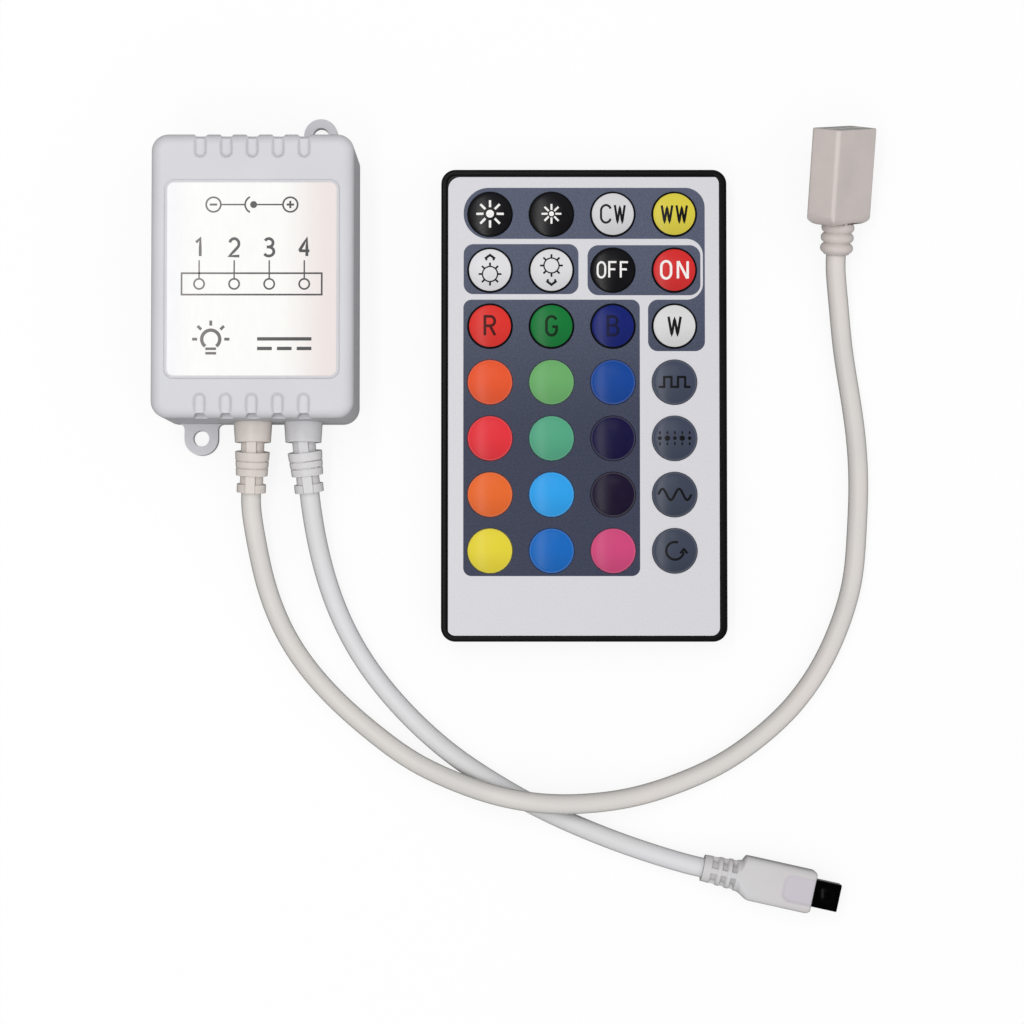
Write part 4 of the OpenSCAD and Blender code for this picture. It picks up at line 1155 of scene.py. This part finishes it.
@dataclass
class WallBox:
    """The controller's box with its label and what is inside.

    Attributes:
        base_edge: Width of the base shell's rounded edges.
        cover_edge: Width of the top cover's rounded edges.
        label_top: Height of the label's top.
        thin: Width of the label's thin lines.
        bold: Width of its bold lines.
        sign_row: Height in plan of the row with the polarity sign.
        sign_reach: Distance of the round signs from the middle of that row.
        sign_radius: Radius of the round signs.
    """

    base_edge: float = 0.1
    cover_edge: float = 0.2
    label_top: float = 19.75
    thin: float = 0.3
    bold: float = 0.6
    sign_row: float = 12.5
    sign_reach: float = 6.8
    sign_radius: float = 1.3

    def build(self) -> None:
        """Dress the shells and the inner pieces and print the label."""
        shells = {"base_shell": (CASE_WHITE, self.base_edge), "top_cover": (CASE_WHITE, self.cover_edge)}
        dress_all(shells | BOX_PIECES)
        self.print_label()

    def print_label(self) -> None:
        """Print plain signs on the label: polarity, four channels, a connector, a bulb and lines."""
        flat = (0.0, 0.0)
        ink = Print("label_print", LABEL_INK.material(), lambda x, y: self.label_top, flat, step=2.0)
        self.print_polarity(ink)
        self.print_channels(ink)
        self.print_foot(ink)
        ink.build("controller", "label_film")

    def print_polarity(self, ink: Print) -> None:
        """Print the sign for a supply plug's polarity: minus at its sleeve and plus at its pin.

        Args:
            ink: The label's ink.
        """
        y, reach, radius, pin = self.sign_row, self.sign_reach, self.sign_radius, (0.3, self.sign_row)
        half, spot, sleeve, sleeve_end = radius / 2, 0.62, 1.5, -1.35
        for side, inner in ((-1, sleeve_end), (1, pin[0])):
            x = side * reach
            ink.add_stroke(circle((x, y), radius), self.thin)
            ink.line([(x - half, y), (x + half, y)], 1.2 * self.thin)
            ink.line([(side * (reach - radius), y), (inner, y)], 0.85 * self.thin)
        ink.line([(reach, y - half), (reach, y + half)], 1.2 * self.thin)
        ink.line(arc(pin, (sleeve, sleeve), 115, 245, count=16), self.thin)
        ink.add_disc(pin, spot)

    def print_channels(self, ink: Print) -> None:
        """Print the channels' numbers over the outline of a four-way connector.

        Args:
            ink: The label's ink.
        """
        pitch, row, frame_row, tall, hole = 6.2, 4.9, -1.6, 1.9, 0.9
        for i, digit in enumerate("1234"):
            x = (i - 1.5) * pitch
            for stroke in lettered(digit, 1.8, 3.1, 0.0, (x, row)):
                ink.add_stroke(stroke, 0.5)
            ink.add_stroke(circle((x, frame_row), hole), self.thin)
            ink.line([(x, frame_row + hole), (x, row - 2.3)], 0.25)
        half, low, high = 2 * pitch, frame_row - tall, frame_row + tall
        ink.line([(-half, low), (half, low), (half, high), (-half, high)], self.thin, closed=True)

    def print_foot(self, ink: Print) -> None:
        """Print a bulb sign and a direct current sign along the label's foot.

        Args:
            ink: The label's ink.
        """
        bulb, radius, cap = (-7.2, -11.4), 1.6, 0.95
        left, row, lift, dash, pitch = 1.0, -12.2, 0.85, 2.6, 3.5
        ink.line(arc(bulb, (radius, radius), -52, 232, count=20), self.bold)
        for drop in (1.7, 2.5):
            ink.line([(bulb[0] - cap, bulb[1] - drop), (bulb[0] + cap, bulb[1] - drop)], 0.45)
        for ray in rays(bulb, 2.4, 3.3)[:5]:
            ink.add_stroke(ray, 0.5)
        starts = [left + i * pitch for i in range(3)]
        ink.line([(left, row + lift), (starts[-1] + dash, row + lift)], self.bold)
        for start in starts:
            ink.line([(start, row - lift), (start + dash, row - lift)], self.bold)


@dataclass
class SensorGrip:
    """The moulded grip of the sensor head, with its ribbed relief and thumb recess.

    Attributes:
        start: Where the relief starts, on the lead's axis.
        turn: Turn of the head's axis from +X, in degrees.
        relief: Length of the ribbed relief.
        length: Length of the whole grip.
        half_width: Half of the grip's width.
        flares: Length over which the grip widens on its left and on its right.
        half_height: Half of its thickness.
        rise: Length over which it reaches that thickness.
        tip: Length of its rounded tip, and the share by which that narrows.
        core: Radius of the relief's core.
        ring_radii: Radius of the relief's rings at its start and at the grip.
        rings: Where each ring starts and ends.
        wall: Length over which the cut between two rings reaches its depth.
        rib: Angles from a rib's middle where it starts to drop and where it is gone, in degrees.
        rib_share: Height of the ribs in that cut, as a share of its depth.
        sides: Number of faces round the grip.
        step: Distance between its sections.
        recess: Where the thumb recess starts, and its half width.
        recess_depth: Depth of the recess.
        recess_corner: Radius of its corners.
        recess_wall: Half the width of its sloping wall.
        recess_end: Where its colour ends, past the tip.
        recess_fade: Half the width over which its colour starts.
        square: Squareness of the sections in the relief and in the grip.
    """

    start: Point = (80.7, -106.15, 2.85)
    turn: float = -12.5
    relief: float = 6.6
    length: float = 20.5
    half_width: float = 3.95
    flares: Flat = (0.9, 2.6)
    half_height: float = 2.8
    rise: float = 2.0
    tip: Flat = (0.9, 0.1)
    core: float = 1.75
    ring_radii: Flat = (2.4, 2.85)
    rings: tuple[Flat, ...] = ((0.0, 1.5), (2.75, 3.4), (4.5, 5.15), (6.15, 7.0))
    wall: float = 0.16
    rib: Flat = (12.0, 17.0)
    rib_share: float = 0.85
    sides: int = 112
    step: float = 0.16
    recess: Flat = (14.9, 2.4)
    recess_depth: float = 0.4
    recess_corner: float = 1.4
    recess_wall: float = 0.4
    recess_end: float = 24.5
    recess_fade: float = 0.25
    square: Flat = (2.0, 5.0)

    def build(self) -> None:
        """Make the grip as one closed loft, and dress it."""
        count = round(self.length / self.step)
        stations = [self.length * i / count for i in range(count + 1)]
        rows = [self.section(u) for u in stations]
        points = [self.placed(p) for row in rows for p in row]
        faces = []
        for r in range(len(rows) - 1):
            for a in range(self.sides):
                b = (a + 1) % self.sides
                low, high = r * self.sides, (r + 1) * self.sides
                faces.append((low + a, low + b, high + b, high + a))
        last = (len(rows) - 1) * self.sides
        faces += [tuple(range(self.sides)), tuple(range(last, last + self.sides))]
        grip = add_mesh("grip_moulding", points, faces, self.material())
        normal = grip.modifiers.new("normal", "WEIGHTED_NORMAL")
        normal.keep_sharp = True
        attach(grip, "controller")
        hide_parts("sensor_grip")
        log.info("moulded the grip from %d sections", len(rows))

    def material(self) -> bpy.types.Material:
        """Write the grip's plastic, a little more lilac in the recess.

        Returns:
            The material.
        """
        graph = GRIP_WHITE.graph()
        plain = graph.shader.inputs["Base Color"].links[0].from_socket
        point = graph.vector("SUBTRACT", graph.place(), tuple(metres(self.start)))
        turned = graph.node("ShaderNodeVectorRotate", point, rotation_type="Z_AXIS")
        turned.inputs["Angle"].default_value = -math.radians(self.turn)
        flat = graph.vector("MULTIPLY", turned.outputs[0], (1, 1, 0))
        width = self.recess[1]
        zone = Zone(self.recess[0], self.recess_end, -width, width, self.recess_corner)
        fade = self.recess_fade * MM
        share = graph.spread(zone.distance(graph, flat), fade, -fade)
        graph.set(Base_Color=graph.mix(share, plain, "#cfc9d2"))
        return graph.material

    def placed(self, point: Point) -> Vector:
        """Move a point from the head's own frame to the shared frame.

        Args:
            point: Its distance along the head, across it and above its axis, in millimetres.

        Returns:
            The point in the shared frame, in metres.
        """
        angle = math.radians(self.turn)
        along = Vector((math.cos(angle), math.sin(angle), 0)) * point[0]
        across = Vector((-math.sin(angle), math.cos(angle), 0)) * point[1]
        return (Vector(self.start) + along + across + Vector((0, 0, point[2]))) * MM

    def section(self, u: float) -> list[Point]:
        """Lay points round the grip.

        Args:
            u: Distance along it.

        Returns:
            The points, in the head's own frame.
        """
        half_widths, half_height, square = self.outline(u)
        points = []
        for i in range(self.sides):
            angle = 2 * math.pi * (i + 0.5) / self.sides
            c, s = math.cos(angle), math.sin(angle)
            v = half_widths[0 if c > 0 else 1] * math.copysign(abs(c) ** (2 / square), c)
            w = half_height * math.copysign(abs(s) ** (2 / square), s)
            cut = self.relief_cut(u, angle)
            v, w = v * cut, w * cut
            if w > 0:
                w = min(w, half_height - self.recess_depth * self.recess_share(u, v)) if cut == 1 else w
            points.append((u, v, w))
        return points

    def outline(self, u: float) -> tuple[Flat, float, float]:
        """Work out a section's outline.

        Args:
            u: Distance along the grip.

        Returns:
            Its half widths on the left and on the right, its half height and its squareness.
        """
        if u < self.relief:
            radius = self.ring_radii[0] + (self.ring_radii[1] - self.ring_radii[0]) * u / self.relief
            return (radius, radius), min(radius, self.half_height), self.square[0]
        crown = 1 - self.tip[1] * (1 - min(1.0, (self.length - u) / self.tip[0])) ** 2
        neck = self.ring_radii[1]
        flares = [ease((u - self.relief) / spread) for spread in self.flares]
        left, right = ((neck + (self.half_width - neck) * flare) * crown for flare in flares)
        height = (neck + (self.half_height - neck) * ease((u - self.relief) / self.rise)) * crown
        square = self.square[0] + (self.square[1] - self.square[0]) * sum(flares) / len(flares)
        return (left, right), min(height, self.half_height), square

    def relief_cut(self, u: float, angle: float) -> float:
        """Work out the cut between the relief's rings.

        Args:
            u: Distance along the grip.
            angle: Turn round its axis.

        Returns:
            What is left of the radius, as a share.
        """
        left_over = 1.0
        for left, right in zip(self.rings, self.rings[1:]):
            start, end = left[1], right[0]
            if not start < u < end:
                continue
            wall = ease(min(u - start, end - u) / self.wall)
            turn = (math.degrees(angle) + 45.0) % 90.0 - 45.0
            rib = 1 - ease((abs(turn) - self.rib[0]) / (self.rib[1] - self.rib[0]))
            radius = self.outline(u)[0][0]
            left_over = 1 - (1 - self.core / radius) * wall * (1 - rib * self.rib_share)
        return left_over

    def recess_share(self, u: float, v: float) -> float:
        """Work out how deep the thumb recess is at a point.

        Args:
            u: Distance along the grip.
            v: Distance across it.

        Returns:
            A share of the recess's depth.
        """
        inner = self.recess[1] - self.recess_corner
        dx = max(0.0, self.recess[0] + self.recess_corner - u)
        dy = max(0.0, abs(v) - inner)
        outside = math.hypot(dx, dy) - self.recess_corner
        return 1 - ease((outside + self.recess_wall) / (2 * self.recess_wall))


def ease(t: float) -> float:
    """Return a smooth step from zero to one."""
    t = min(1.0, max(0.0, t))
    return t * t * (3 - 2 * t)


@dataclass
class Cabling:
    """The two leads with their glands, the connector and the sensor head.

    Attributes:
        output_route: Points of the output lead on the table.
        sensor_route: Points of the sensor lead on the table.
    """

    output_route: list[Point] = field(default_factory=lambda: [
        (-0.5, -47, 4.6), (1, -55, 2.9), (4, -63, 1.9), (8.5, -70, 1.85), (14.5, -76.5, 1.85),
        (21, -82, 1.85), (27.7, -87, 2.3), (35.3, -90.4, 4), (43, -93, 5.9), (51.5, -94.5, 6.2),
        (60, -94.5, 5), (68.5, -93.5, 2.8), (76.5, -91, 1.9), (84.5, -87.5, 1.85),
        (91.5, -82.5, 1.85), (97.5, -77, 1.85), (102.5, -70, 1.85), (106, -62.5, 1.85),
        (108.65, -54, 1.85), (109.15, -45.5, 1.85), (109.65, -37, 1.85), (109.3, -28.5, 1.85),
        (108.1, -20, 1.85), (106.65, -11.5, 1.9), (106, -3.5, 2.45),
    ])
    sensor_route: list[Point] = field(default_factory=lambda: [
        (10.5, -47, 4.6), (12.3, -54.6, 2.9), (15.2, -62.2, 1.9), (19.2, -69.2, 1.85),
        (24.3, -75.7, 1.85), (30, -81.5, 1.85), (36, -86.5, 1.85), (43, -91, 1.85),
        (50, -95, 1.85), (57.5, -98.5, 1.85), (65, -101.5, 1.85), (72, -103.85, 2.1),
    ])

    def build(self) -> None:
        """Make the sheaths and the grip, and dress the moulded solids on the leads."""
        self.lay_leads()
        dress_all({
            "output_gland": (GLAND_WARM, 0.1),
            "sensor_gland": (GLAND_COOL, 0.1),
            "output_connector": (CONNECTOR_WHITE, 0.2),
            "connector_contacts": (CONTACT_METAL, 0.0),
            "sensor_eye": (EYE_EPOXY, 0.18),
        })

    def lay_leads(self) -> None:
        """Make the two sheaths and the grip that the sensor lead ends in."""
        Lead("output_sheath", "output_lead", self.output_route,
             start=(-1.320, -37.946, 6.146), start_turn=(-0.0432, -0.9893, -0.1392),
             end=(105.277, 5.885, 4.697), end_turn=(0.04213, 0.96501, 0.25882),
             pieces=["output_connector", "connector_contacts", "output_gland"],
             finish=OUTPUT_SHEATH).build()
        Lead("sensor_sheath", "sensor_lead", self.sensor_route,
             start=(9.257, -37.903, 6.146), start_turn=(0.1035, -0.9848, -0.1392),
             end=(80.7, -106.15, 2.85), end_turn=(0.9763, -0.2164, 0.0),
             pieces=["sensor_eye", "sensor_gland"], finish=SENSOR_SHEATH).build()
        SensorGrip().build()


class Legend(Enum):
    """What is printed on a key."""

    NONE = "bare"
    BIG_SUN = "sun with long rays"
    SMALL_SUN = "sun with short rays"
    COOL = "CW"
    WARM = "WW"
    BRIGHTER = "sun under an arrow"
    DIMMER = "sun over an arrow"
    OFF = "OFF"
    ON = "ON"
    RED = "R"
    GREEN = "G"
    BLUE = "B"
    WHITE = "W"
    STEPS = "square wave"
    DOTS = "row of dots"
    WAVE = "sine wave"
    CYCLE = "round arrow"


INKS: dict[Legend, Finish] = {
    **dict.fromkeys((Legend.BIG_SUN, Legend.SMALL_SUN, Legend.OFF, Legend.ON), INK_WHITE),
    Legend.RED: INK_MAROON,
    Legend.GREEN: INK_FOREST,
    Legend.BLUE: INK_MIDNIGHT,
}
# Radius of the spot, where the rays start and end, and their width
SUNS: dict[Legend, tuple[float, float, float, float]] = {
    Legend.BIG_SUN: (0.72, 1.2, 2.5, 0.42),
    Legend.SMALL_SUN: (0.45, 0.7, 1.8, 0.36),
}
# Width and height of a letter, the gap between letters and the width of a stroke
LETTERS: dict[Legend, tuple[float, float, float, float]] = {
    Legend.COOL: (1.8, 3.2, 0.72, 0.4),
    Legend.WARM: (1.9, 3.1, 0.78, 0.42),
    Legend.OFF: (1.38, 2.8, 0.72, 0.36),
    Legend.ON: (1.78, 3.15, 1.25, 0.45),
    Legend.RED: (1.85, 3.45, 0.0, 0.5),
    Legend.GREEN: (1.85, 3.45, 0.0, 0.5),
    Legend.BLUE: (1.85, 3.4, 0.0, 0.5),
    Legend.WHITE: (2.2, 3.35, 0.0, 0.46),
}


@dataclass(frozen=True)
class Key:
    """One key.

    Attributes:
        name: Name of its solid.
        colour: Colour of its dome.
        legend: What is printed on it.
        sheen: Level of its mirror-like reflection.
    """

    name: str
    colour: str
    legend: Legend = Legend.NONE
    sheen: float = 0.18


KEYS: tuple[tuple[Key, ...], ...] = (
    (Key("key_bright_full", "#0e0d12", Legend.BIG_SUN, 0.3),
     Key("key_bright_half", "#0c0b10", Legend.SMALL_SUN, 0.3),
     Key("key_cool_white", "#d9d9dc", Legend.COOL), Key("key_warm_white", "#dfd044", Legend.WARM)),
    (Key("key_brighter", "#e4e3e6", Legend.BRIGHTER), Key("key_dimmer", "#e2e1e3", Legend.DIMMER),
     Key("key_off", "#0b0a0e", Legend.OFF, 0.25), Key("key_on", "#da2a2a", Legend.ON)),
    (Key("key_red", "#e23028", Legend.RED), Key("key_green", "#087a36", Legend.GREEN),
     Key("key_blue", "#0c1e72", Legend.BLUE), Key("key_white", "#dedede", Legend.WHITE)),
    (Key("key_orange_red", "#ee592c"), Key("key_light_green", "#6cb06a"), Key("key_mid_blue", "#08469c"),
     Key("key_mode_one", "#434a5e", Legend.STEPS, 0.3)),
    (Key("key_rose_red", "#ea323c"), Key("key_sea_green", "#54aa86"), Key("key_navy", "#110c40"),
     Key("key_mode_two", "#41485c", Legend.DOTS, 0.3)),
    (Key("key_orange", "#ee6c2a"), Key("key_sky_blue", "#2aa4f0"), Key("key_purple", "#1a0c2e"),
     Key("key_mode_three", "#3f4659", Legend.WAVE, 0.3)),
    (Key("key_yellow", "#ead838"), Key("key_azure", "#0c6ac2"), Key("key_pink", "#d4487c"),
     Key("key_mode_four", "#3f4659", Legend.CYCLE, 0.3)),
)


REMOTE_PIECES: dict[str, tuple[AnyFinish, float]] = {
    "remote_shell": (REMOTE_BLACK, 0.2),
    "battery_tray": (TRAY_BLACK, 0.12),
    "coin_cell": (CELL_STEEL, 0.12),
    "battery_contacts": (STEEL, 0.04),
    "dome_contacts": (STEEL, 0.04),
    "keypad_board": (KEYPAD_LAMINATE, 0.06),
    "remote_chip": (CHIP_EPOXY, 0.05),
    "infrared_led": (LED_EPOXY, 0.0),
}


@dataclass
class CardRemote:
    """The thin card remote with its overlay and its 28 domed keys.

    Attributes:
        centre: The remote's centre in plan.
        first_key: Centre of the first key from the remote's centre.
        pitch: Distance between keys across and along.
        crown_top: Height of a key's crown.
        dome_radius: Radius of the sphere that a crown is cut from.
        ringed_rows: Number of rows whose keys have a black ring.
        key_edge: Width of a key's rounded edges.
        overlay_edge: Width of the overlay's rounded edges.
    """

    centre: Flat = (59.15, -22.05)
    first_key: Flat = (-17.1, 34.8)
    pitch: Flat = (11.18, 10.22)
    crown_top: float = 7.1
    dome_radius: float = 15.884
    ringed_rows: int = 3
    key_edge: float = 0.12
    overlay_edge: float = 0.05

    def build(self) -> None:
        """Dress the shell, the overlay, the inside and the tray, then make each key."""
        dress("remote_overlay", OverlayFinish(self.centre).material(), self.overlay_edge)
        dress_all(REMOTE_PIECES)
        inks = materials((INK_BLACK, *INKS.values()))
        for row, keys in enumerate(KEYS):
            for column, key in enumerate(keys):
                self.make_key(key, row, column, inks)

    def key_centre(self, row: int, column: int) -> Flat:
        """Return the centre of a key in plan."""
        return (self.centre[0] + self.first_key[0] + column * self.pitch[0],
                self.centre[1] + self.first_key[1] - row * self.pitch[1])

    def make_key(self, key: Key, row: int, column: int, inks: dict[Finish, bpy.types.Material]) -> None:
        """Dress one key and print its legend.

        Args:
            key: The key.
            row: Its row from the infrared end.
            column: Its column from the left.
            inks: The inks' materials.
        """
        middle = self.key_centre(row, column)
        rim = Rim.BLACK if row < self.ringed_rows else Rim.PAINTED_HIGHLIGHT
        finish = KeyFinish(key.name, key.colour, middle, rim, key.sheen)
        dress(key.name, finish.material(), self.key_edge)
        if key.legend is Legend.NONE:
            return

        def dome(x: float, y: float) -> float:
            """Return the height of the key's crown at a point in plan."""
            reach = math.hypot(x - middle[0], y - middle[1])
            return self.crown_top - self.dome_radius + math.sqrt(self.dome_radius ** 2 - reach ** 2)

        colour = INKS.get(key.legend, INK_BLACK)
        ink = Print(f"{key.name}_legend", inks[colour], dome, middle)
        self.draw(ink, key.legend)
        ink.build(key.name, "key_white" if colour is INK_WHITE else "key_black")

    @staticmethod
    def draw(ink: Print, legend: Legend) -> None:
        """Draw a legend on a key.

        Args:
            ink: The ink on that key.
            legend: The legend.
        """
        bold = 0.42
        if legend in SUNS:
            spot, inner, outer, width = SUNS[legend]
            ink.add_disc((0, 0), spot)
            for ray in rays((0, 0), inner, outer):
                ink.add_stroke(ray, width)
        elif legend in (Legend.BRIGHTER, Legend.DIMMER):
            way = 1 if legend is Legend.BRIGHTER else -1
            middle, foot = (0.0, -0.78 * way), 2.02 * way
            ink.add_stroke(circle(middle, 1.38), 0.24)
            for ray in rays(middle, 1.45, 2.08):
                ink.add_stroke(ray, 0.34)
            ink.line([(-0.92, foot), (0, 2.72 * way), (0.92, foot)], bold)
            for x in (-0.66, 0.66):
                ink.line([(x, foot + 0.1 * way), (x, foot - 0.3 * way)], 0.36)
        elif legend is Legend.STEPS:
            half = [(0.6, -0.9), (0.6, 0.9), (1.9, 0.9), (1.9, -0.9), (2.9, -0.9)]
            ink.line([(-x, y) for x, y in reversed(half)] + half, bold)
        elif legend is Legend.DOTS:
            for i in range(5):
                x = (i - 2) * 1.35
                ink.add_disc((x, 0), 0.5 if i % 2 else 0.34)
                for y in (-1.0, 1.0):
                    ink.line([(x, y - 0.25), (x, y + 0.25)], 0.3)
        elif legend is Legend.WAVE:
            ink.line([(x / 6, math.sin(x * math.pi / 9)) for x in range(-18, 19)], bold)
        elif legend is Legend.CYCLE:
            ink.line(arc((0, 0), (1.6, 1.6), 70, 350, count=20), bold)
            ink.line([(0.95, -0.45), (1.6, 0.3), (2.25, -0.45)], bold)
        else:
            width, height, gap, stroke_width = LETTERS[legend]
            for stroke in lettered(legend.value, width, height, gap):
                ink.add_stroke(stroke, stroke_width)


def main() -> None:
    """Build the studio and each sub-assembly in order."""
    logging.basicConfig(level=logging.INFO, format="%(message)s")
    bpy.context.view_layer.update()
    Studio().build()
    Cabling().build()
    WallBox().build()
    CardRemote().build()


if __name__ == "__main__":
    main()
